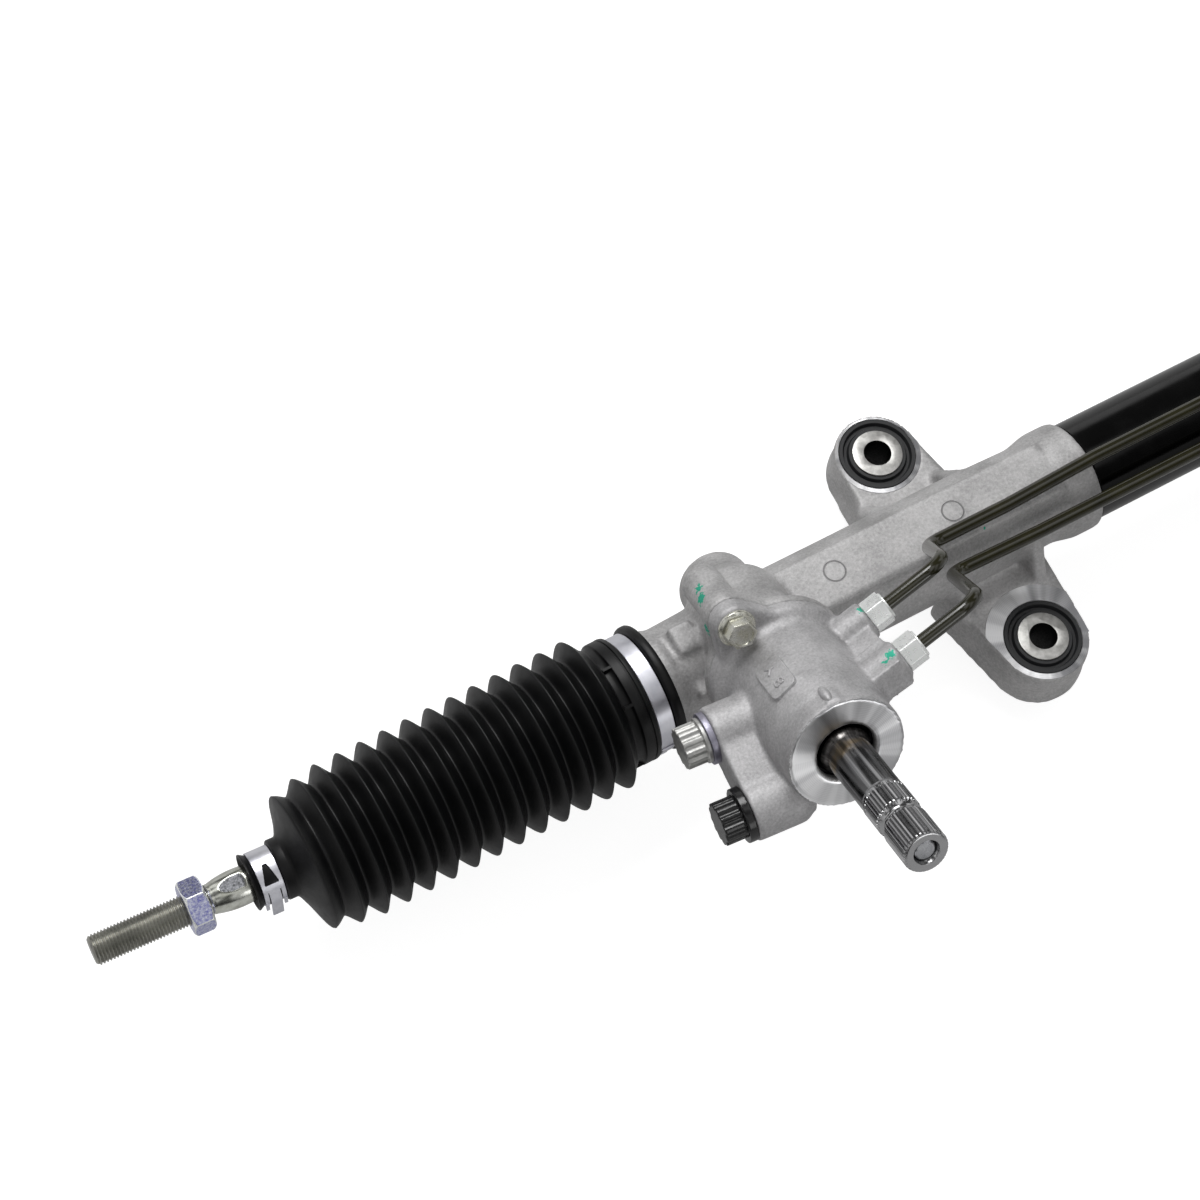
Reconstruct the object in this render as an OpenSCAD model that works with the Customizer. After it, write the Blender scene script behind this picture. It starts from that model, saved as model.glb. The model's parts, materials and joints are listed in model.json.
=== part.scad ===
// Hydraulic rack-and-pinion steering gear with a cast gear housing, a rotary valve, two
// inner tie rods and rubber bellows. Millimetres. The origin lies on the rack axis, in the
// middle of the band of the cylinder tube that the right-hand clamp grips. +X runs along
// the rack towards the right-hand end and +Z along the bushing bores.

/* [Rack and pinion] */
// Diameter of the rack bar
rack_d = 26; // [25:0.5:27]
// Normal module of the rack and pinion teeth
tooth_module = 2; // [1.9:0.05:2.05]
// Number of pinion teeth
pinion_teeth = 7; // [7:1:8]
// Helix angle of the pinion teeth
helix_angle = 20; // [18:1:22]
// Number of teeth on the rack
rack_teeth = 29; // [28:1:30]
// Play between the tooth flanks, across the tooth
backlash = 0.2; // [0.15:0.05:0.4]
// Height of the rack's teeth above their datum line, in modules
rack_addendum = 0.8; // [0.7:0.05:0.85]
// Toothed length of the pinion
pinion_tooth_l = 32; // [28:1:34]
// Distance from each ball centre to the near end face of the rack bar
rack_end_gap = 33; // [32:1:36]

/* [Layout along the rack] */
// Place of the pinion axis along the rack, from the clamp band
pinion_x = -500; // [-505:1:-497]
// Left ball centre, from the pinion
ball_left = -197; // [-200:1:-196]
// Left stop face of the housing, from the pinion
stop_x = -86; // [-90:1:-84]
// Left end of the cylinder tube's visible length, from the pinion
tube_x = 180; // [175:1:190]
// Depth to which the cylinder tube is pressed into the casting
tube_press = 26; // [20:1:30]
// Width of the band that the right-hand clamp grips
clamp_band = 30; // [24:1:34]

/* [Pinion shaft] */
// Lean of the pinion shaft away from the bushing bores
shaft_lean = 57; // [50:1:62]
// Skew of the pinion shaft out of the plane across the rack
shaft_skew = 7; // [4:1:9]
// Distance between the pinion axis and the rack axis
mesh_offset = 15.5; // [15.45:0.05:15.8]
// Diameter of the input shaft's plain length
shaft_d = 19.4; // [18:0.2:20]
// Diameter over the input shaft's serrations
serration_d = 19.9; // [18.6:0.1:20.4]
// Number of serrations
serration_count = 36; // [30:1:40]
// Length of input shaft that stands out of the valve housing
shaft_reach = 75; // [70:1:84]
// Diameter of the torsion bar's ends
torsion_end_d = 9; // [8:0.2:9.6]
// Diameter of the torsion bar's slim middle
torsion_mid_d = 5.2; // [4.8:0.1:6]

/* [Gear housing] */
// Outer radius of the rack tube of the casting
rack_tube_r = 25; // [24.5:0.25:26]
// Bore radius of the rack tube of the casting
rack_bore_r = 15; // [14.5:0.25:16]
// Outer radius of the casting's rim at the cylinder tube
rim_r = 26.5; // [26.25:0.25:28]
// Radius of the pinion boss
pinion_boss_r = 23; // [22.5:0.5:25]
// Radius of the closed lower end of the pinion boss
boss_end_r = 17; // [16:0.5:19]
// Radius of the rack guide's bore
guide_bore_r = 15; // [14:0.5:16]
// Wall round the rack guide's bore
guide_wall = 6.5; // [5:0.5:8]
// Distance from the rack axis to the mouth of the guide bore
guide_depth = 44; // [42:1:50]
// Outer radius of the two bolted flanges
flange_r = 33; // [32:0.5:35]
// Radius of the flange bolts' circle
bolt_circle_r = 39; // [38:0.5:41]
// Angle of the visible flange bolt round the pinion axis
bolt_angle = 116; // [110:1:122]

/* [Mounting ears] */
// Rear bushing, along the rack from the pinion
rear_bush_x = 111; // [109:1:113]
// Rear bushing, across the rack axis
rear_bush_y = 57; // [55:1:60]
// Front bushing, along the rack from the pinion
front_bush_x = 128; // [126:1:130]
// Front bushing, across the rack axis
front_bush_y = -59; // [-62:1:-57]
// Distance of the ears' machined faces below the rack axis
ear_drop = 14; // [12:1:17]
// Thickness of the ears at the bushings
ear_t = 25; // [23:1:28]
// Wall of the front ear round its bushing
front_ear_wall = 3.6; // [3:0.1:5]
// Wall of the rear ear round its bushing
rear_ear_wall = 1.9; // [1.6:0.1:3]
// Diameter of the bushing's bolt bore
bush_bore_d = 12.4; // [10.2:0.2:13]
// Diameter of the bushing's inner sleeve
bush_sleeve_d = 23.8; // [22:0.2:25]
// Diameter of the bushing's rubber
bush_rubber_d = 36.8; // [35:0.2:38]
// Height by which the inner sleeve stands out of the ear, at each face
sleeve_proud = 1; // [0.5:0.25:3]

/* [Valve housing] */
// Distance from the pinion crossing to the flange joint
flange_u = 47; // [46:1:49]
// Distance from the pinion crossing to the machined end face
face_u = 118; // [117:1:124]
// Outer radius of the valve housing at its machined face
valve_body_r = 26.4; // [26:0.2:28]
// Radius of the valve bore
valve_bore_r = 19; // [18.5:0.25:19.5]
// Radius of the seal bore at the machined face
seal_bore_r = 13.3; // [13:0.1:14]
// Angle by which the pipe ports are turned up round the pinion axis
port_angle = 20; // [14:1:26]
// Distance of the inner pipe port from the pinion crossing
port_inner_u = 59; // [58:1:62]
// Distance of the outer pipe port below the machined end face
port_outer_back = 26; // [24:1:28]
// Distance of the pipe ports' faces from the pinion axis
port_reach = 43; // [41:1:45]
// Radius of the pipe port bosses
port_boss_r = 9; // [8.5:0.25:10]
// Distance of the hose ports' faces from the pinion axis
hose_reach = 44; // [42:1:48]
// Distance of the inner hose port from the pinion crossing
hose_inner_u = 74; // [72:1:76]
// Distance of the outer hose port below the machined end face
hose_outer_back = 14; // [13.5:0.5:16]
// Offset of the outer hose port from the pinion axis, away from the ears
hose_drop = 21; // [19:0.5:23]
// Radius of the hose port bosses
hose_boss_r = 13; // [12.5:0.25:14]

/* [Cylinder and pipes] */
// Distance from the outer seal carrier to the end of the cylinder tube
tube_tail = 44; // [40:1:52]
// Outer radius of the cylinder tube
tube_r = 24; // [23:0.25:24.5]
// Wall of the cylinder tube
tube_wall = 3; // [2.5:0.25:3.5]
// Inner seal carrier's face in the cylinder tube, from the pinion
chamber_x = 280; // [276:1:284]
// Length of the cylinder's working chamber
chamber_l = 182; // [178:1:188]
// Thickness of the piston
piston_t = 20; // [18:1:24]
// Diameter of the transfer pipes
pipe_d = 6.4; // [6:0.2:7]
// Distance of the pipes' straight runs from the rack axis
pipe_run = 33.3; // [33:0.1:35]
// Distance from the pinion axis at which the pipes turn along the rack
pipe_lift = 84; // [82:1:86]
// Start of the rear pipe's straight run, from the pinion
rear_run_x = 86; // [84:1:90]
// Start of the front pipe's straight run, from the pinion
front_run_x = 92; // [90:1:96]
// Start of the rear pipe's slight bend round the casting's rim
rear_bend_x = 130; // [126:1:136]
// Length of that bend
rear_bend_l = 48; // [44:1:52]
// Distance before its port at which a pipe leaves its straight run
pipe_lead = 42; // [38:1:46]
// Height of the pipes' loops above the cylinder ports
pipe_loop = 30; // [28:1:34]
// Turn of the cylinder ports round the tube, towards the front bushing's side
port_turn = 14; // [8:1:18]
// Height of the cylinder ports above the tube
port_stem_l = 9; // [8.5:0.5:11]
// Radius of the cylinder ports
port_stem_r = 8.5; // [8:0.25:9]

/* [Tie rods and bellows] */
// Angle at which the tie rods rest, swept towards the rear bushing's side
rod_sweep = 3.3; // [0:0.1:4]
// Diameter of the tie rod's ball
ball_d = 25; // [23:0.5:25]
// Outer diameter of the ball socket
socket_d = 34; // [33:0.5:36]
// Diameter of the tie rod's plain shank
rod_d = 16; // [14:0.5:17]
// Diameter of the tie rod's thread
thread_d = 14; // [12:1:14]
// Distance from the ball centre to the tip of the thread
rod_l = 121; // [118:1:140]
// Length of the thread
thread_l = 54; // [50:1:56]
// Size of the lock nut across its flats
nut_af = 22; // [20:1:24]
// Thickness of the lock nut
nut_t = 10; // [9:0.5:11]
// Number of convolutions of each bellows
fold_count = 14; // [12:1:15]
// Distance between the crests of the folds
fold_pitch = 11.1; // [10.4:0.1:11.2]
// Radius of the crests of the folds
crest_r = 36; // [35:0.5:38]
// Radius of the roots of the folds
root_r = 27.4; // [27.2:0.2:28.4]
// Wall of the bellows
bellows_wall = 2; // [1.5:0.25:2.25]

/* [Fits] */
// Radial clearance where a piece is seated for good
seat_gap = 0.05; // [0.03:0.01:0.08]
// Radial clearance of a running fit
run_gap = 0.04; // [0.02:0.01:0.08]
// Clearance between pieces that move apart from each other
free_gap = 0.4; // [0.3:0.05:0.6]

/* [Hidden] */
$fn = 64;

// Tooth geometry, for a rack whose teeth cross the bar at the angle that is left of the
// pinion's helix after the skew of its shaft
rack_tooth_angle = helix_angle - shaft_skew;
tooth_pitch = PI * tooth_module;
rack_pitch = tooth_pitch / cos(rack_tooth_angle);
pressure_angle = 20;
profile_shift = 0.5;
pitch_r = pinion_teeth * tooth_module / (2 * cos(helix_angle));
transverse_angle = atan(tan(pressure_angle) / cos(helix_angle));
base_r = pitch_r * cos(transverse_angle);
tip_r = pitch_r + tooth_module * (0.82 + profile_shift);
pinion_root_r = pitch_r + tooth_module * (profile_shift - 1.25);
// Heights above the rack axis of the rack's datum line, tooth tips and tooth roots
datum_h = mesh_offset - pitch_r - profile_shift * tooth_module;
rack_tip_h = datum_h + rack_addendum * tooth_module;
rack_root_h = mesh_offset - tip_r - tooth_module / 5;
pinion_thickness = tooth_module * (PI / 2 + 2 * profile_shift * tan(pressure_angle))
    / cos(helix_angle) - backlash;

rail_h = rack_tube_r + 0.2;
rail_w = 27;
rack_r = rack_d / 2;
rack_left = ball_left + rack_end_gap;
cuff_seat_l = 38;
cuff_seat_r = 25;
carrier_t = 22;
chamber_right = chamber_x + chamber_l;
tube_right = chamber_right + carrier_t + tube_tail;
stop_right = tube_right + cuff_seat_l;
spigot_left = chamber_right + carrier_t + 14;
// Middle of the vehicle, about which the two ends mirror each other
centre_x = (stop_x + stop_right) / 2;
rack_right = 2 * centre_x - rack_left;
tube_bore_r = tube_r - tube_wall;
tube_neck_r = tube_r - 3.2;
tube_left = tube_x - tube_press;
piston_x = chamber_x + chamber_l / 2;
socket_stub_r = 7;
socket_stub_l = 18;

// The pinion's bearings and the valve, as distances along the pinion from its crossing
port_outer_u = face_u - port_outer_back;
hose_outer_u = face_u - hose_outer_back;
needle_u = -26;
needle_l = 10;
needle_r = 10;
journal_r = 7;
bearing_t = 11;
bearing_r = 20;
bearing_seat_r = 10;
bearing_u = flange_u - bearing_t - 0.5;
head_r = 14;
head_end_u = flange_u + 11;
sleeve_r = valve_bore_r - free_gap;
valve_bore_end_u = face_u - 18;
sleeve_u = flange_u + 3;
sleeve_l = valve_bore_end_u - 1 - sleeve_u;
rotor_r = 11.4;
cage_r = 16.5;
cage_end_u = face_u - 5;
stub_r = 8;
tooth_cavity_r = tip_r + 1.8;
bolt_r = 4;
bolt_head_u = flange_u + 9;
pad_t = 0.9;
pad_w = 14;
pad_l = 23;
pad_u = 71;
pipe_thread_r = 5.5;
pipe_nut_af = 13.5;
hose_thread_r = 8;
joint_groove_r = valve_bore_r + 3;
joint_groove_t = 1.6;

bush_rubber_r = bush_rubber_d / 2;
ear_bottom = -ear_drop - ear_t;
bush_lip_t = 4;
bush_shell_t = 1.2;
rear_bush = [rear_bush_x, rear_bush_y];
front_bush = [front_bush_x, front_bush_y];

nut_r = nut_af / 2 / cos(30);
socket_r = socket_d / 2;
rod_r = rod_d / 2;
thread_r = thread_d / 2;
// Halfway up the thread's flanks, where the nut grips it
thread_core_r = thread_r - 0.65;
nut_end = rod_l - thread_l + 1.5 + nut_t;
first_crest = -221.4;
small_cuff_r = rod_r + bellows_wall + 1.4;

// Outline that joins two circles by their common outer tangents
function tangent_quad(a, ra, b, rb) =
    let (gap = b - a, turn = atan2(gap.y, gap.x), open = acos((ra - rb) / norm(gap)))
    [for (s = [1, -1]) a + ra * [cos(turn + s * open), sin(turn + s * open)],
     for (s = [-1, 1]) b + rb * [cos(turn + s * open), sin(turn + s * open)]];

module link_2d(a, ra, b, rb) {
    translate(a) circle(r = ra);
    translate(b) circle(r = rb);
    polygon(tangent_quad(a, ra, b, rb));
}

module along_rack(x) {
    translate([pinion_x + x, 0, 0]) rotate([0, 90, 0]) children();
}

// Local Z runs up the pinion shaft, local X lies across it along the rack, and local Y
// points from the rack axis to the pinion axis
module on_pinion(u = 0) {
    translate([pinion_x, mesh_offset * cos(shaft_lean), mesh_offset * sin(shaft_lean)])
        rotate([shaft_lean, 0, 0]) rotate([0, -shaft_skew, 0]) translate([0, 0, u]) children();
}

// Local Z runs from the rack axis down the rack guide's bore
module on_guide() {
    translate([pinion_x, 0, 0]) rotate([90 + shaft_lean, 0, 0]) children();
}

module on_pipe_port(u) {
    on_pinion(u) rotate([0, 0, port_angle]) rotate([0, 90, 0]) children();
}

// Local Z leaves a hose port, local X runs up the pinion shaft
module on_hose_port(u, drop) {
    on_pinion(u) rotate([0, -90, 0]) translate([0, -drop, 0]) children();
}

module to_right_end() {
    translate([2 * (pinion_x + centre_x), 0, 0]) mirror([1, 0, 0]) children();
}

// Local Z runs out along the left tie rod from its ball
module on_rod() {
    translate([pinion_x + ball_left, 0, 0]) rotate([0, 0, -rod_sweep]) rotate([0, -90, 0]) children();
}

module ring(outer, inner, h, z = 0) {
    translate([0, 0, z]) difference() {
        cylinder(r = outer, h = h);
        translate([0, 0, -1]) cylinder(r = inner, h = h + 2);
    }
}

// Post whose far edge is rounded
module domed_post(r, h, round_r) {
    rotate_extrude() polygon(concat([[0, 0], [r, 0]],
        [for (a = [0:15:90]) [r - round_r + round_r * cos(a), h - round_r + round_r * sin(a)]],
        [[0, h]]));
}

// Gear housing: one aluminium die casting round the rack, the pinion and the rack guide
module rack_tube_casting() {
    along_rack(0) rotate_extrude() polygon([
        [0, stop_x], [cuff_seat_r - 1, stop_x], [cuff_seat_r, stop_x + 1],
        [cuff_seat_r, stop_x + 26], [cuff_seat_r - 0.8, stop_x + 27],
        [cuff_seat_r - 0.8, stop_x + 36], [cuff_seat_r, stop_x + 37],
        [cuff_seat_r, stop_x + 44], [rack_tube_r - 1.5, stop_x + 46],
        [rack_tube_r, 0], [rack_tube_r, tube_x - 60], [rack_tube_r - 1, tube_x - 24],
        [rim_r - 0.4, tube_x - 15], [rim_r, tube_x - 13], [rim_r, tube_x - 1],
        [rim_r - 1, tube_x], [0, tube_x]]);
    // Flat-topped rail along the top of the tube, and its twin along the bottom
    for (side = [0, 180]) along_rack(0) rotate([0, 0, side]) translate([-rail_h, 0, 0])
        linear_extrude(tube_x - 18) polygon([[0, rail_w / 2], [0, -rail_w / 2],
            [rail_h, -rail_w / 2 - 3], [rail_h, rail_w / 2 + 3]]);
}

module flange_lug(side, r, from_u, to_u) {
    on_pinion(from_u) rotate([0, 0, bolt_angle + side]) linear_extrude(to_u - from_u)
        link_2d([bolt_circle_r, 0], r, [0, 0], flange_r - 7);
}

module pinion_boss_casting() {
    on_pinion(16) rotate([180, 0, 0]) domed_post(boss_end_r, 48, 7);
    on_pinion(-16) cylinder(r1 = boss_end_r, r2 = pinion_boss_r, h = 12);
    on_pinion(-4) cylinder(r = pinion_boss_r, h = flange_u + 4);
    on_pinion(flange_u - 12) cylinder(r1 = pinion_boss_r, r2 = flange_r - 3, h = 6);
    on_pinion(flange_u - 6) cylinder(r = flange_r, h = 6);
    for (side = [0, 180]) {
        flange_lug(side, 9.5, flange_u - 8.6, flange_u);
        on_pinion(flange_u - 34) rotate([0, 0, bolt_angle + side])
            translate([bolt_circle_r, 0, 0]) domed_column();
        // Web that ties the bolt column to the boss
        on_pinion(flange_u - 30) rotate([0, 0, bolt_angle + side])
            translate([0, -3, 0]) cube([bolt_circle_r, 6, 26]);
    }
}

module domed_column() {
    translate([0, 0, 32]) rotate([180, 0, 0]) domed_post(9.2, 32, 4);
}

module guide_boss_casting() {
    on_guide() cylinder(r = guide_bore_r + guide_wall, h = guide_depth - 1);
    on_guide() translate([0, 0, guide_depth - 1])
        cylinder(r1 = guide_bore_r + guide_wall, r2 = guide_bore_r + guide_wall - 1, h = 1);
}

// Point where the tangent from p touches a circle, on the side given by its sign
function tangent_point(p, centre, r, side) =
    let (gap = p - centre, turn = atan2(gap.y, gap.x) + side * acos(r / norm(gap)))
    centre + r * [cos(turn), sin(turn)];

// Ear from the rack tube to a bushing boss, with straight flanks between two stations of
// the tube
module ear_plan(bush, r, left_x, right_x) {
    way = sign(bush.y);
    left = [left_x, 16 * way];
    right = [right_x, 16 * way];
    translate(bush) circle(r = r);
    polygon([left, tangent_point(left, bush, r, -way), tangent_point(right, bush, r, way),
        right]);
}

module ear(bush, wall, left_x, right_x) {
    r = bush_rubber_r + wall;
    translate([pinion_x, 0, ear_bottom]) {
        linear_extrude(ear_t - 1) ear_plan(bush, r, left_x, right_x);
        linear_extrude(ear_t) ear_plan(bush, r - 0.8, left_x + 0.8, right_x - 0.8);
        linear_extrude(9) ear_plan(bush, r + 0.8, left_x - 1, right_x + 1);
    }
}

module mounting_ears() {
    ear(rear_bush, rear_ear_wall, rear_bush_x - 24, rear_bush_x + 28);
    ear(front_bush, front_ear_wall, front_bush_x - 30, front_bush_x + 25);
    // Gussets from the ears up to the rack tube
    for (x = [front_bush_x + 15, front_bush_x - 26]) gusset(x, -1);
    for (x = [rear_bush_x + 19, rear_bush_x - 22]) gusset(x, 1);
}

module gusset(x, way) {
    translate([pinion_x + x + 3.5, 0, 0]) rotate([0, -90, 0]) linear_extrude(7)
        polygon([[-ear_drop - 3, 14 * way], [-ear_drop - 3, 36 * way], [-ear_drop, 36 * way],
            [2, (rack_tube_r + 2) * way], [8, 23 * way], [8, 14 * way]]);
}

module casting_ribs() {
    // Marks of the ejector pins on the rail
    for (x = [46, 109]) translate([pinion_x + x, 0.5, rail_h - 1]) cylinder(r = 5, h = 1.2);
    // Blocks on the neck, each side of the bellows' seat
    translate([pinion_x - 36, -2, 0]) cube([12, 14, rack_tube_r + 1.5]);
    translate([pinion_x - 36, -22, 0]) cube([12, 14, rack_tube_r - 6]);
    // Fin from the neck up to the bolt column
    on_pinion(0) rotate([0, 0, bolt_angle]) translate([8, 5, 0]) rotate([90, 0, 0])
        linear_extrude(5) polygon([[0, -12], [bolt_circle_r - 10, 12],
            [bolt_circle_r - 4, flange_u - 8], [0, flange_u - 8]]);
}

module gear_housing() color([0.68, 0.69, 0.70]) difference() {
    union() {
        rack_tube_casting();
        pinion_boss_casting();
        guide_boss_casting();
        mounting_ears();
        casting_ribs();
    }
    along_rack(stop_x - 1) cylinder(r = rack_bore_r, h = tube_x - stop_x);
    along_rack(stop_x) translate([0, 0, -0.01])
        cylinder(r1 = rack_bore_r + 1, r2 = rack_bore_r, h = 1);
    along_rack(tube_left) cylinder(r = tube_neck_r + seat_gap, h = tube_press + 1);
    on_pinion(needle_u) cylinder(r = needle_r + seat_gap, h = needle_l + 1);
    on_pinion(needle_u + needle_l) cylinder(r = tooth_cavity_r, h = flange_u - needle_u);
    on_pinion(bearing_u) cylinder(r = bearing_r + seat_gap, h = 20);
    on_guide() cylinder(r = guide_bore_r, h = guide_depth + 1);
    for (bush = [rear_bush, front_bush])
        translate([pinion_x + bush.x, bush.y, ear_bottom - 1])
            cylinder(r = bush_rubber_r + seat_gap, h = ear_t + 2);
    for (side = [0, 180]) on_pinion(flange_u - 28) rotate([0, 0, bolt_angle + side])
        translate([bolt_circle_r, 0, 0]) cylinder(r = bolt_r + seat_gap, h = 60);
}

// Valve housing: the second casting, bolted on, which holds the rotary valve
module pipe_port_bosses() {
    for (u = [port_inner_u, port_outer_u]) on_pipe_port(u) {
        cylinder(r = port_boss_r, h = port_reach - 0.8);
        cylinder(r = port_boss_r - 0.8, h = port_reach);
    }
    // The outer boss is squared, and joined to the inner one by a web
    on_pipe_port(port_outer_u) translate([-port_boss_r - 1, -7, 8])
        cube([2 * port_boss_r + 2, 7 + port_boss_r - 1, port_reach - 10]);
    on_pipe_port(port_inner_u) translate([-(port_outer_u - port_inner_u), -4, 6])
        cube([port_outer_u - port_inner_u, 8, port_reach - 8]);
}

module hose_port_bosses() {
    inner = [hose_inner_u, 0];
    outer = [hose_outer_u, -hose_drop];
    on_hose_port(0, 0) {
        linear_extrude(hose_reach) translate(inner) circle(r = hose_boss_r);
        translate([0, 0, hose_reach]) translate(outer) rotate([180, 0, 0])
            domed_post(hose_boss_r, hose_reach - 17, 6);
        translate([0, 0, 16]) linear_extrude(hose_reach - 16)
            link_2d(inner, hose_boss_r - 2.5, outer, hose_boss_r - 2.5);
    }
}

module valve_housing_body() {
    on_pinion(0) rotate_extrude() polygon([
        [0, flange_u], [flange_r, flange_u], [flange_r, flange_u + 6],
        [flange_r - 1, flange_u + 7], [valve_body_r + 3.5, flange_u + 8.5],
        [valve_body_r + 2, flange_u + 12], [valve_body_r + 0.6, face_u - 12],
        [valve_body_r, face_u - 11], [valve_body_r, face_u], [0, face_u]]);
    for (side = [0, 180]) {
        flange_lug(side, 9.5, flange_u, bolt_head_u - 1);
        on_pinion(flange_u) rotate([0, 0, bolt_angle + side])
            translate([bolt_circle_r, 0, 0]) cylinder(r = 8.5, h = 9);
    }
}

module valve_housing() color([0.70, 0.71, 0.72]) difference() {
    union() {
        valve_housing_body();
        pipe_port_bosses();
        hose_port_bosses();
        // Bare identification pad
        on_pinion(pad_u) rotate([0, 0, 118]) translate([valve_body_r - 3, -pad_w / 2, 0])
            cube([3 + pad_t, pad_w, pad_l]);
        // Locating nub beside the machined face
        on_pinion(face_u - 10.5) rotate([0, 0, 91]) translate([valve_body_r - 3, -3, 0])
            cube([3 + pad_t, 6, 9]);
    }
    on_pinion(flange_u - 1) cylinder(r = valve_bore_r, h = valve_bore_end_u - flange_u + 1);
    on_pinion(valve_bore_end_u - 1)
        cylinder(r = cage_r + seat_gap, h = cage_end_u - valve_bore_end_u + 1);
    on_pinion(face_u - 10) cylinder(r = seal_bore_r, h = 20);
    on_pinion(face_u - 0.8) cylinder(r1 = seal_bore_r, r2 = seal_bore_r + 0.9, h = 0.9);
    for (u = [port_inner_u, port_outer_u]) on_pipe_port(u) {
        translate([0, 0, 10]) cylinder(r = 3, h = port_reach);
        translate([0, 0, port_reach - 12]) cylinder(r = pipe_thread_r + seat_gap, h = 13);
    }
    on_hose_port(hose_inner_u, 0) {
        translate([0, 0, 10]) cylinder(r = 4, h = hose_reach);
        translate([0, 0, hose_reach - 14]) cylinder(r = hose_thread_r + seat_gap, h = 15);
    }
    on_hose_port(hose_outer_u, hose_drop) {
        translate([0, 0, 18]) cylinder(r = 4, h = hose_reach);
        translate([0, 0, hose_reach - 14]) cylinder(r = hose_thread_r + seat_gap, h = 15);
    }
    for (side = [0, 180]) on_pinion(flange_u - 1) rotate([0, 0, bolt_angle + side])
        translate([bolt_circle_r, 0, 0]) cylinder(r = bolt_r + seat_gap, h = 30);
    on_pinion(flange_u - 1) ring(joint_groove_r + 1.2 + seat_gap,
        joint_groove_r - 1.2 - seat_gap, joint_groove_t + 1);
}

// Flanged hexagon bolt, its head's seat at z = 0 and its shank below
module flange_bolt(r, shank) {
    translate([0, 0, -shank]) cylinder(r = r, h = shank + 1);
    cylinder(r = 2.15 * r, h = 1.4);
    translate([0, 0, 1.4]) cylinder(r1 = 2.15 * r, r2 = 1.85 * r, h = 1);
    difference() {
        translate([0, 0, 1]) cylinder(r = 1.7 * r, h = 6.5, $fn = 6);
        translate([0, 0, 6.7]) cylinder(r = 1.2 * r, h = 2);
    }
}

module housing_bolts() color([0.74, 0.72, 0.62])
    for (side = [0, 180]) on_pinion(bolt_head_u) rotate([0, 0, bolt_angle + side])
        translate([bolt_circle_r, 0, 0]) flange_bolt(bolt_r, 30);

module joint_ring() color([0.08, 0.08, 0.08])
    on_pinion(flange_u) ring(joint_groove_r + 1.2, joint_groove_r - 1.2, joint_groove_t);

// Steel cylinder tube, pressed into the gear housing and closed by the end housing
module cylinder_tube() color([0.06, 0.06, 0.065]) difference() {
    // Its end is drawn down to a neck for the casting
    along_rack(0) rotate_extrude() polygon([
        [tube_neck_r - tube_wall, tube_left], [tube_neck_r, tube_left],
        [tube_neck_r, tube_x + 0.2], [tube_r - 0.8, tube_x + 0.2], [tube_r, tube_x + 1],
        [tube_r, tube_right], [tube_bore_r, tube_right], [tube_bore_r, tube_x + 8],
        [tube_neck_r - tube_wall, tube_x + 4]]);
    for (x = port_stations) on_cylinder_port(x) cylinder(r = 2.5, h = tube_r + 1);
}

port_stations = [chamber_x + 5, chamber_right - 5];

// Local Z leaves the tube at a cylinder port
module on_cylinder_port(x) {
    translate([pinion_x + x, 0, 0]) rotate([port_turn, 0, 0]) children();
}

module cylinder_ports() color([0.06, 0.06, 0.065])
    for (x = port_stations) on_cylinder_port(x) difference() {
        union() {
            translate([0, 0, tube_r - 3]) cylinder(r = port_stem_r, h = port_stem_l + 3);
            translate([0, 0, tube_r - 3])
                cylinder(r1 = port_stem_r + 1.5, r2 = port_stem_r, h = 5);
        }
        rotate([0, 90, 0]) translate([0, 0, -20]) cylinder(r = tube_r + seat_gap, h = 40);
        translate([0, 0, tube_r - 4]) cylinder(r = 2.5, h = 30);
        translate([0, 0, tube_r + port_stem_l - 8])
            cylinder(r = pipe_thread_r + seat_gap, h = 20);
    }

module end_housing() color([0.68, 0.69, 0.70]) along_rack(0) rotate_extrude() polygon([
    [rack_r + 2, spigot_left], [tube_bore_r - seat_gap, spigot_left],
    [tube_bore_r - seat_gap, tube_right], [cuff_seat_r, tube_right],
    [cuff_seat_r, tube_right + 5], [cuff_seat_r - 0.8, tube_right + 6],
    [cuff_seat_r - 0.8, tube_right + 10], [cuff_seat_r, tube_right + 11],
    [cuff_seat_r, stop_right - 1], [cuff_seat_r - 1, stop_right],
    [rack_r + 2, stop_right]]);

// Rings that carry the rack seals, one at each end of the working chamber
module seal_carriers() color([0.72, 0.72, 0.74])
    for (x = [chamber_x - carrier_t, chamber_right]) along_rack(x) difference() {
        cylinder(r = tube_bore_r - seat_gap, h = carrier_t);
        translate([0, 0, -1]) cylinder(r = rack_r + free_gap, h = carrier_t + 2);
        translate([0, 0, (carrier_t - seal_l) / 2])
            cylinder(r = rack_r + 4, h = seal_l);
    }

seal_l = 8;

module rack_seals() color([0.09, 0.09, 0.09])
    for (x = [chamber_x - carrier_t, chamber_right]) along_rack(x + (carrier_t - seal_l) / 2)
        rotate_extrude() polygon([
            [rack_r + run_gap, seal_l / 2 - 1.5], [rack_r + run_gap, seal_l / 2 + 1.5],
            [rack_r + 1.5, seal_l - 0.1], [rack_r + 4 - seat_gap, seal_l - 0.1],
            [rack_r + 4 - seat_gap, 0.1], [rack_r + 1.5, 0.1]]);

module rack_bush() color([0.62, 0.50, 0.30])
    along_rack(tube_right - 22) ring(rack_r + 2 - seat_gap, rack_r + run_gap, 20);

// Mounting bushings: a steel shell, a rubber ring and a steel sleeve for the bolt
module at_bush(bush, z) {
    translate([pinion_x + bush.x, bush.y, z]) children();
}

module bushing_shells() color([0.55, 0.55, 0.56])
    for (bush = [rear_bush, front_bush]) at_bush(bush, ear_bottom)
        ring(bush_rubber_r, bush_rubber_r - bush_shell_t, ear_t - bush_lip_t);

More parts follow.
